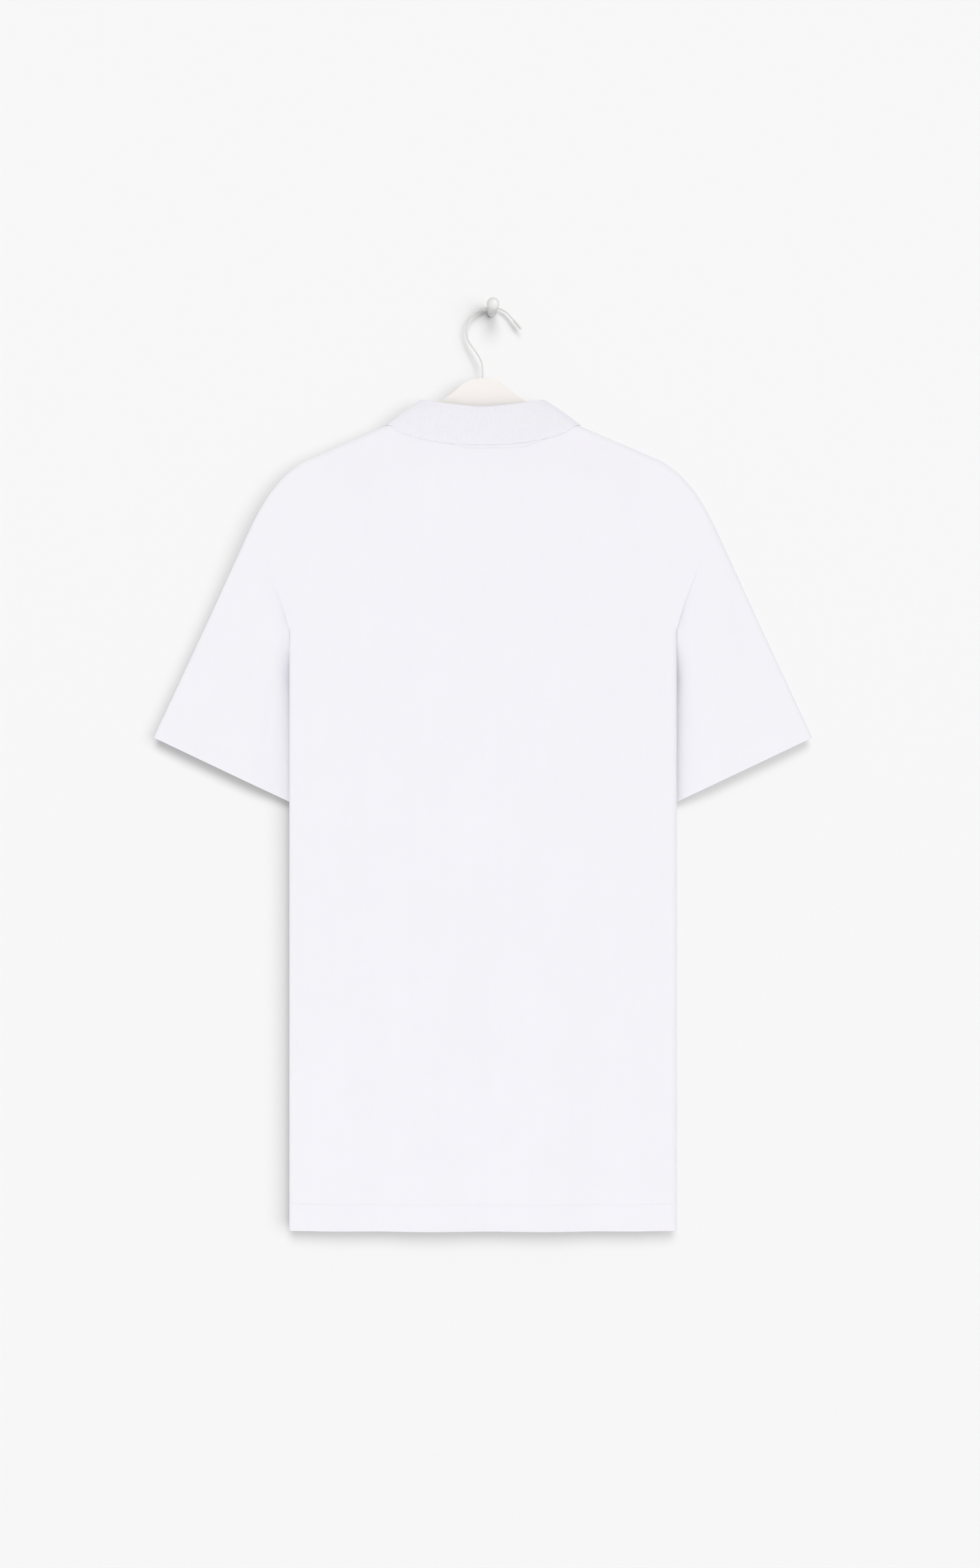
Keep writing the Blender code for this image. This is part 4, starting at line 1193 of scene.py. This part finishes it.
def buttonholes_piece(cut):
    """Close short stitches in two upright rows on the placket behind each button."""
    paths = []
    for drop in BUTTON_DROPS:
        middle = cut.neckline(0.0, 1) - drop
        for x in (-1.1, 1.1):
            z = np.linspace(middle + 8.2, middle - 8.2, 30)
            paths.append(cut.placed(cut.on_panel(np.full_like(z, x), z, 1, PLACKET_GAP + PLACKET_CLOTH)))
    return stitches_piece("buttonholes", paths, [np.array([0.0, 1.0, 0.0])] * len(paths), 1.7, 0.55, 0.2)


# ---- hanger ----
def hanger_outline(cut):
    """The outline from the middle of the top, over the right arm's end, to the middle of the lower edge."""
    hump = [(x, HANGER_TOP_Z - drop) for x, drop in HANGER_HUMP]
    arm = [(x, float(cut.shoulder_height(np.float64(x))) - HANGER_IN_SHOULDER) for x in range(118, 186, 8)]
    end = []
    for degrees in range(66, -101, -11):
        angle = math.radians(degrees)
        end.append(
            (
                HANGER_ARM_END[0] + HANGER_ARM_RADIUS * math.cos(angle),
                HANGER_ARM_END[1] + HANGER_ARM_RADIUS * math.sin(angle),
            )
        )
    lower = [(170.0, -191.0), (130.0, -175.0), (90.0, -158.0), (50.0, -141.0), (20.0, -130.0), (0.0, -127.0)]
    return [*hump, *arm, *end, *lower]


def smooth_line(points, count):
    """A smooth line of many points through a few, by Catmull-Rom."""
    points = np.asarray(points, float)
    padded = np.concatenate([[2 * points[0] - points[1]], points, [2 * points[-1] - points[-2]]])
    line = []
    for a, b, c, d in zip(padded, padded[1:], padded[2:], padded[3:]):
        for t in np.arange(count) / count:
            line.append(
                0.5 * (2 * b + (c - a) * t + (2 * a - 5 * b + 4 * c - d) * t**2 + (3 * b - a - 3 * c + d) * t**3)
            )
    return np.array([*line, points[-1]])


def hanger_piece(cut):
    """The flat hanger: its outline is filled, given its thickness and rounded all round."""
    half = smooth_line(hanger_outline(cut), 4)
    half[0, 0] = half[-1, 0] = 0.0
    outline = np.concatenate([half, half[-2:0:-1] * np.array([-1.0, 1.0])])
    mesh = bmesh.new()
    front = cut.middle_y - HANGER_THICK / 2
    corners = [mesh.verts.new(((x + cut.centre_x) * MM, front * MM, z * MM)) for x, z in outline]
    face = mesh.faces.new(corners)
    grown = bmesh.ops.extrude_face_region(mesh, geom=[face])["geom"]
    far = [item for item in grown if isinstance(item, bmesh.types.BMVert)]
    bmesh.ops.translate(mesh, verts=far, vec=(0, HANGER_THICK * MM, 0))
    bmesh.ops.recalc_face_normals(mesh, faces=mesh.faces)
    data = bpy.data.meshes.new("hanger_board")
    mesh.to_mesh(data)
    mesh.free()
    piece = bpy.data.objects.new("hanger_board", data)
    bpy.context.scene.collection.objects.link(piece)
    bevel = piece.modifiers.new("rounded", "BEVEL")
    bevel.width = 2.9 * MM
    bevel.segments = 6
    bevel.angle_limit = math.radians(60)
    activate(piece)
    bpy.ops.object.modifier_apply(modifier=bevel.name)
    bpy.ops.object.shade_smooth_by_angle(angle=math.radians(40))
    return piece


# ---- hook and its tip ----
def hook_points(cut):
    """The wire's middle line, from the hanger up over the knob to the free end."""
    stem = cut.centre_x - 0.5
    plan = [(stem, HANGER_TOP_Z - 2.0), (stem, -76.0), *((stem - aside, z) for aside, z in HOOK_BEND)]
    for degrees in range(210, HOOK_STRAIGHTENS, -8):
        angle = math.radians(degrees)
        plan.append(
            (HOOK_CENTRE[0] + HOOK_RADIUS * math.cos(angle), HOOK_CENTRE[1] + HOOK_RADIUS * math.sin(angle))
        )
    last = math.radians(HOOK_STRAIGHTENS)
    start = (HOOK_CENTRE[0] + HOOK_RADIUS * math.cos(last), HOOK_CENTRE[1] + HOOK_RADIUS * math.sin(last))
    plan += [(start[0] + math.sin(last) * run, start[1] - math.cos(last) * run) for run in (1.0, 8.0, HOOK_TAIL)]
    plan = smooth_line(plan, 3)
    top = HOOK_CENTRE[1] + HOOK_RADIUS
    y = mix(HOOK_TOP_Y, cut.middle_y, (top - plan[:, 1]) / (top - HANGER_TOP_Z))
    return np.stack([plan[:, 0], y, plan[:, 1]], axis=-1)


def tube_piece(name, points, radius, sides=4):
    """A round wire through points, made a mesh."""
    curve = bpy.data.curves.new(name, "CURVE")
    curve.dimensions = "3D"
    curve.bevel_depth = radius * MM
    curve.bevel_resolution = sides
    curve.use_fill_caps = True
    spline = curve.splines.new("POLY")
    spline.points.add(len(points) - 1)
    for slot_, point in zip(spline.points, points):
        slot_.co = (*(point * MM), 1)
    piece = bpy.data.objects.new(name, curve)
    bpy.context.scene.collection.objects.link(piece)
    activate(piece)
    bpy.ops.object.convert(target="MESH")
    piece = bpy.context.object
    piece.data.name = name
    merge_doubles(piece)
    bpy.ops.object.shade_smooth_by_angle(angle=math.radians(50))
    return piece


def turned_piece(name, profile, sides=64):
    """A solid turned about Z from (radius, height) pairs, closed at both poles."""
    corners = [(radius * MM, 0, height * MM) for radius, height in profile]
    data = bpy.data.meshes.new(name)
    data.from_pydata(corners, [(i, i + 1) for i in range(len(profile) - 1)], [])
    piece = bpy.data.objects.new(name, data)
    bpy.context.scene.collection.objects.link(piece)
    activate(piece)
    bpy.ops.object.mode_set(mode="EDIT")
    bpy.ops.mesh.select_all(action="SELECT")
    bpy.ops.mesh.spin(steps=sides, angle=2 * math.pi, center=(0, 0, 0), axis=(0, 0, 1))
    bpy.ops.mesh.select_all(action="SELECT")
    bpy.ops.mesh.remove_doubles(threshold=0.004 * MM)
    bpy.ops.mesh.normals_make_consistent(inside=False)
    bpy.ops.object.mode_set(mode="OBJECT")
    bpy.ops.object.shade_smooth_by_angle(angle=math.radians(32))
    return piece


def tip_piece(points):
    """The clear sleeve over the wire's end."""
    end, before = Vector(points[-1]), Vector(points[-2])
    along = (end - before).normalized()
    inner, outer, cover = WIRE_RADIUS + 0.12, WIRE_RADIUS + 1.2, 1.3
    profile = [(0.0, cover)]
    for degrees in range(90, -1, -15):
        angle = math.radians(degrees)
        profile.append((outer - 0.5 + 0.5 * math.cos(angle), cover - 0.5 + 0.5 * math.sin(angle)))
    profile += [(outer, cover - TIP_LENGTH + 0.25), (outer - 0.2, cover - TIP_LENGTH)]
    profile += [(inner, cover - TIP_LENGTH), (inner, 0.15), (0.0, 0.15)]
    piece = turned_piece("hook_sleeve", profile, 32)
    piece.rotation_mode = "QUATERNION"
    piece.rotation_quaternion = along.to_track_quat("Z", "Y")
    piece.location = end * MM
    place(piece)
    return piece


# ---- knob ----
KNOB_BALL = (7.3, 37.0)
KNOB_WAIST = ((5.6, 31.6), (5.0, 31.0), (4.9, 30.2), (5.4, 29.5))
KNOB_BODY = ((5.9, 29.0), (6.2, 28.0), (6.3, 24.0), (6.3, 13.4), (6.2, 11.4), (5.7, 10.5), (3.6, 9.9), (3.45, 9.5))
KNOB_TILT = (math.radians(2.2), math.radians(2.4))
KNOB_FLUTES = 24
KNOB_FOOT = ((3.45, 4.3), (3.8, 3.6), (5.0, 3.2), (5.0, 0.0), (0.0, 0.0))


def knob_piece():
    """The turned wall knob: a ball, a waist, a fluted body, the hook's groove and a foot."""
    size, middle = KNOB_BALL
    ball = [(size * math.sin(turn), middle + size * math.cos(turn)) for turn in np.radians(range(0, 131, 10))]
    profile = [*ball, *KNOB_WAIST, *KNOB_BODY, *KNOB_FOOT]
    piece = turned_piece("wall_knob_turned", profile, KNOB_FLUTES * 6)
    top, low = KNOB_BODY[1][1] * MM, KNOB_BODY[3][1] * MM
    for vert in piece.data.vertices:
        if low - 0.1 * MM < vert.co.z < top + 0.1 * MM:
            turn = math.atan2(vert.co.y, vert.co.x)
            shrink = 1 - 0.07 * abs(math.sin(turn * KNOB_FLUTES / 2)) ** 6
            vert.co.x, vert.co.y = vert.co.x * shrink, vert.co.y * shrink
    up, aside = KNOB_TILT
    for vert in piece.data.vertices:
        vert.co.x += vert.co.z * math.tan(aside)
        vert.co.y += vert.co.z * math.tan(up)
    piece.rotation_euler = (math.pi / 2, 0, 0)
    place(piece)
    return piece


# ---- stage ----
def add_sun(name, strength, spread, towards, lights_up=None, shaded_by=None):
    """A distant light. It may fall on one collection only, and be shaded by one collection only."""
    light = bpy.data.lights.new(name, "SUN")
    light.energy = strength
    light.angle = spread
    lamp = bpy.data.objects.new(name, light)
    bpy.context.scene.collection.objects.link(lamp)
    lamp.rotation_mode = "QUATERNION"
    lamp.rotation_quaternion = Vector(towards).to_track_quat("Z", "Y")
    lamp.light_linking.receiver_collection = lights_up
    lamp.light_linking.blocker_collection = shaded_by
    return lamp


def stage_plane(name, size, location, turn, material):
    deselect_all()
    bpy.ops.mesh.primitive_plane_add(size=size, location=location, rotation=turn)
    plane = bpy.context.object
    plane.name = plane.data.name = name
    plane.data.materials.append(material)
    return plane


def wall_finish(rgb, glow):
    """A softly lit backdrop that is only there from the front, so the shirt can be seen from behind too."""
    finish = Finish("stage_wall")
    finish.set(Base_Color=(*rgb, 1.0), Roughness=1.0, Specular_IOR_Level=0.0)
    finish.set(Emission_Color=(1.0, 1.0, 1.0, 1.0), Emission_Strength=glow)
    behind = finish.node("ShaderNodeNewGeometry", {}, out="Backfacing")
    clear = finish.node("ShaderNodeBsdfTransparent", {})
    mixed = finish.node("ShaderNodeMixShader", {}, behind, Value(finish, finish.shader.outputs[0]), clear)
    finish.feed(finish.tree.nodes["Material Output"].inputs["Surface"], mixed)
    return finish.material


# ---- operators ----
class SHIRT_OT_stage(bpy.types.Operator):
    """Make the camera, the lights, the wall and the floor"""

    bl_idname = "shirt.stage"
    bl_label = "Stage"

    def execute(self, context):
        settings = context.scene.shirt_stage
        scene = context.scene
        scene.view_settings.view_transform = "Standard"
        camera = bpy.data.cameras.new("camera")
        camera.lens = settings.lens
        camera.clip_start, camera.clip_end = 0.05, 60.0
        view = bpy.data.objects.new("camera", camera)
        scene.collection.objects.link(view)
        view.location = [size * MM for size in CAMERA_PLACE]
        view.rotation_euler = (math.pi / 2, 0, 0)
        scene.camera = view
        world = bpy.data.worlds.new("stage_sky")
        world.use_nodes = True
        sky = world.node_tree.nodes["Background"]
        sky.inputs["Color"].default_value = (1.0, 1.0, 1.0, 1.0)
        sky.inputs["Strength"].default_value = settings.sky
        scene.world = world
        garment, room, fittings = group_of("garment"), group_of("room"), group_of("fittings")
        add_sun("key", settings.key, settings.key_spread, (0.08, -1.0, 0.6), room)
        add_sun("side", settings.side, settings.side_spread, (0.62, -1.0, 0.05), room)
        add_sun("spot", settings.spot, settings.spot_spread, (0.42, -1.0, 0.1), room, fittings)
        add_sun("soft", settings.soft, settings.soft_spread, (-0.2, -1.0, 0.05), garment)
        add_sun("fill", settings.fill, settings.side_spread, (0.5, -1.0, 0.3), fittings)
        add_sun("back", settings.back, math.radians(25), (0.55, 1.0, 0.6))
        backdrop = wall_finish(settings.wall_colour, settings.wall_glow)
        wall = stage_plane("wall", 9.0, (0, 0.0003, 2.8), (math.pi / 2, 0, 0), backdrop)
        matt = plain_finish("stage_floor", settings.floor_colour)
        floor = stage_plane("floor", 9.0, (0, 0, FLOOR_Z * MM), (0, 0, 0), matt)
        for plane in (wall, floor):
            room.objects.link(plane)
            plane.visible_shadow = False
        return {"FINISHED"}


class SHIRT_OT_panels(bpy.types.Operator):
    """Make the back and the front of the shirt"""

    bl_idname = "shirt.panels"
    bl_label = "Back and front"

    def execute(self, context):
        cut = Cut(context.scene.shirt_sizes)
        jersey = jersey_finish("jersey_panels", context.scene.shirt_cloth)
        for name, node, side in (("back_cloth", "back", -1), ("front_cloth", "front", 1)):
            piece = finish_piece(panel_piece(cut, name, side, jersey), jersey, "jersey", node)
        return {"FINISHED"}


class SHIRT_OT_sleeves(bpy.types.Operator):
    """Make the two short sleeves"""

    bl_idname = "shirt.sleeves"
    bl_label = "Sleeves"

    def execute(self, context):
        cut = Cut(context.scene.shirt_sizes)
        jersey = jersey_finish("jersey_sleeves", context.scene.shirt_cloth)
        for name, node, hand in (("sleeve_left_cloth", "sleeve_left", -1), ("sleeve_right_cloth", "sleeve_right", 1)):
            piece = finish_piece(sleeve_piece(cut, name, hand), jersey, "jersey", node)
        return {"FINISHED"}


class SHIRT_OT_collar(bpy.types.Operator):
    """Make the rib-knit collar"""

    bl_idname = "shirt.collar"
    bl_label = "Collar"

    def execute(self, context):
        cut = Cut(context.scene.shirt_sizes)
        looks = context.scene.shirt_cloth
        piece = finish_piece(collar_piece(cut, looks), rib_finish("rib_knit", looks), "rib_knit", "collar")
        return {"FINISHED"}


class SHIRT_OT_placket(bpy.types.Operator):
    """Make the placket's two strips, the buttons and their sewing"""

    bl_idname = "shirt.placket"
    bl_label = "Placket and buttons"

    def execute(self, context):
        cut = Cut(context.scene.shirt_sizes)
        looks = context.scene.shirt_cloth
        jersey = jersey_finish("jersey_placket", looks)
        thread = thread_finish(looks)
        strips = (
            ("placket_over_cloth", "placket_over", PLACKET_GAP + PLACKET_CLOTH),
            ("placket_under_cloth", "placket_under", -PLACKET_CLOTH - PLACKET_GAP),
        )
        for name, node, out in strips:
            piece = finish_piece(placket_piece(cut, name, out), jersey, "jersey", node)
        plastic = plastic_finish("button_plastic", context.scene.shirt_hard.button_colour, 0.22, 500.0, 0.4)
        for number, drop in enumerate(BUTTON_DROPS, 1):
            piece = button_piece(cut, f"button_{number}_sewn", drop)
            finish_piece(piece, plastic, "button_plastic", f"button_{number}")
        finish_piece(button_threads(cut), thread, "jersey")
        finish_piece(buttonholes_piece(cut), thread, "jersey")
        return {"FINISHED"}


class SHIRT_OT_stitches(bpy.types.Operator):
    """Make the visible rows of stitches on the hem, the neck and the placket"""

    bl_idname = "shirt.stitches"
    bl_label = "Stitches"

    def execute(self, context):
        cut = Cut(context.scene.shirt_sizes)
        thread = thread_finish(context.scene.shirt_cloth)
        back, front = np.array([0.0, -1.0, 0.0]), np.array([0.0, 1.0, 0.0])
        rows = (
            ("hem_stitches_back", [hem_path(cut, -1)], [back]),
            ("hem_stitches_front", [hem_path(cut, 1)], [front]),
            ("neck_stitches", [neck_path(cut)], [back], 0.17),
            ("placket_stitches", placket_paths(cut), [front] * 4),
        )
        for name, paths, outwards, *size in rows:
            finish_piece(stitches_piece(name, paths, outwards, STITCH_LENGTH, STITCH_PITCH, *size), thread, "jersey")
        return {"FINISHED"}


class SHIRT_OT_hanger(bpy.types.Operator):
    """Make the hanger, its hook and the hook's clear tip"""

    bl_idname = "shirt.hanger"
    bl_label = "Hanger and hook"

    def execute(self, context):
        cut = Cut(context.scene.shirt_sizes)
        looks = context.scene.shirt_hard
        plastic = plastic_finish("hanger_plastic", looks.hanger_colour, 0.42, 420.0)
        finish_piece(hanger_piece(cut), plastic, "hanger_plastic", "hanger")
        points = hook_points(cut)
        finish_piece(tube_piece("hook_wire", points, WIRE_RADIUS), wire_finish(looks), "hook_wire", "hanger_hook", lit_with="fittings")
        finish_piece(tip_piece(points), clear_finish(looks), "tip_plastic", "hook_tip", lit_with="fittings")
        return {"FINISHED"}


class SHIRT_OT_knob(bpy.types.Operator):
    """Make the wall knob that carries the hook"""

    bl_idname = "shirt.knob"
    bl_label = "Wall knob"

    def execute(self, context):
        # The last value paints a dark outline of shade into the knob's colour where it is seen edge on.
        plastic = plastic_finish("knob_plastic", context.scene.shirt_hard.knob_colour, 0.3, 700.0, 0.3, 0.42)
        finish_piece(knob_piece(), plastic, "knob_plastic", "wall_knob", lit_with="fittings")
        return {"FINISHED"}


OPERATORS = (
    SHIRT_OT_stage,
    SHIRT_OT_hanger,
    SHIRT_OT_panels,
    SHIRT_OT_sleeves,
    SHIRT_OT_collar,
    SHIRT_OT_placket,
    SHIRT_OT_stitches,
    SHIRT_OT_knob,
)
GROUPS = {
    "shirt_sizes": ShirtSizes,
    "shirt_cloth": ClothFinish,
    "shirt_hard": HardFinish,
    "shirt_stage": StageSettings,
}


class SHIRT_PT_panel(bpy.types.Panel):
    """The shirt's settings and the buttons that make its pieces"""

    bl_label = "Polo shirt"
    bl_space_type = "VIEW_3D"
    bl_region_type = "UI"
    bl_category = "Shirt"

    def draw(self, context):
        for name in GROUPS:
            box = self.layout.box()
            group = getattr(context.scene, name)
            for key in group.__annotations__:
                box.prop(group, key)
        for operator in OPERATORS:
            self.layout.operator(operator.bl_idname)


def register():
    for kind in (*GROUPS.values(), *OPERATORS, SHIRT_PT_panel):
        bpy.utils.register_class(kind)
    for name, kind in GROUPS.items():
        setattr(bpy.types.Scene, name, PointerProperty(type=kind))


def unregister():
    for name in GROUPS:
        delattr(bpy.types.Scene, name)
    for kind in reversed((*GROUPS.values(), *OPERATORS, SHIRT_PT_panel)):
        bpy.utils.unregister_class(kind)


def main():
    register()
    for operator in OPERATORS:
        group, name = operator.bl_idname.split(".")
        getattr(getattr(bpy.ops, group), name)()


if __name__ == "__main__":
    main()
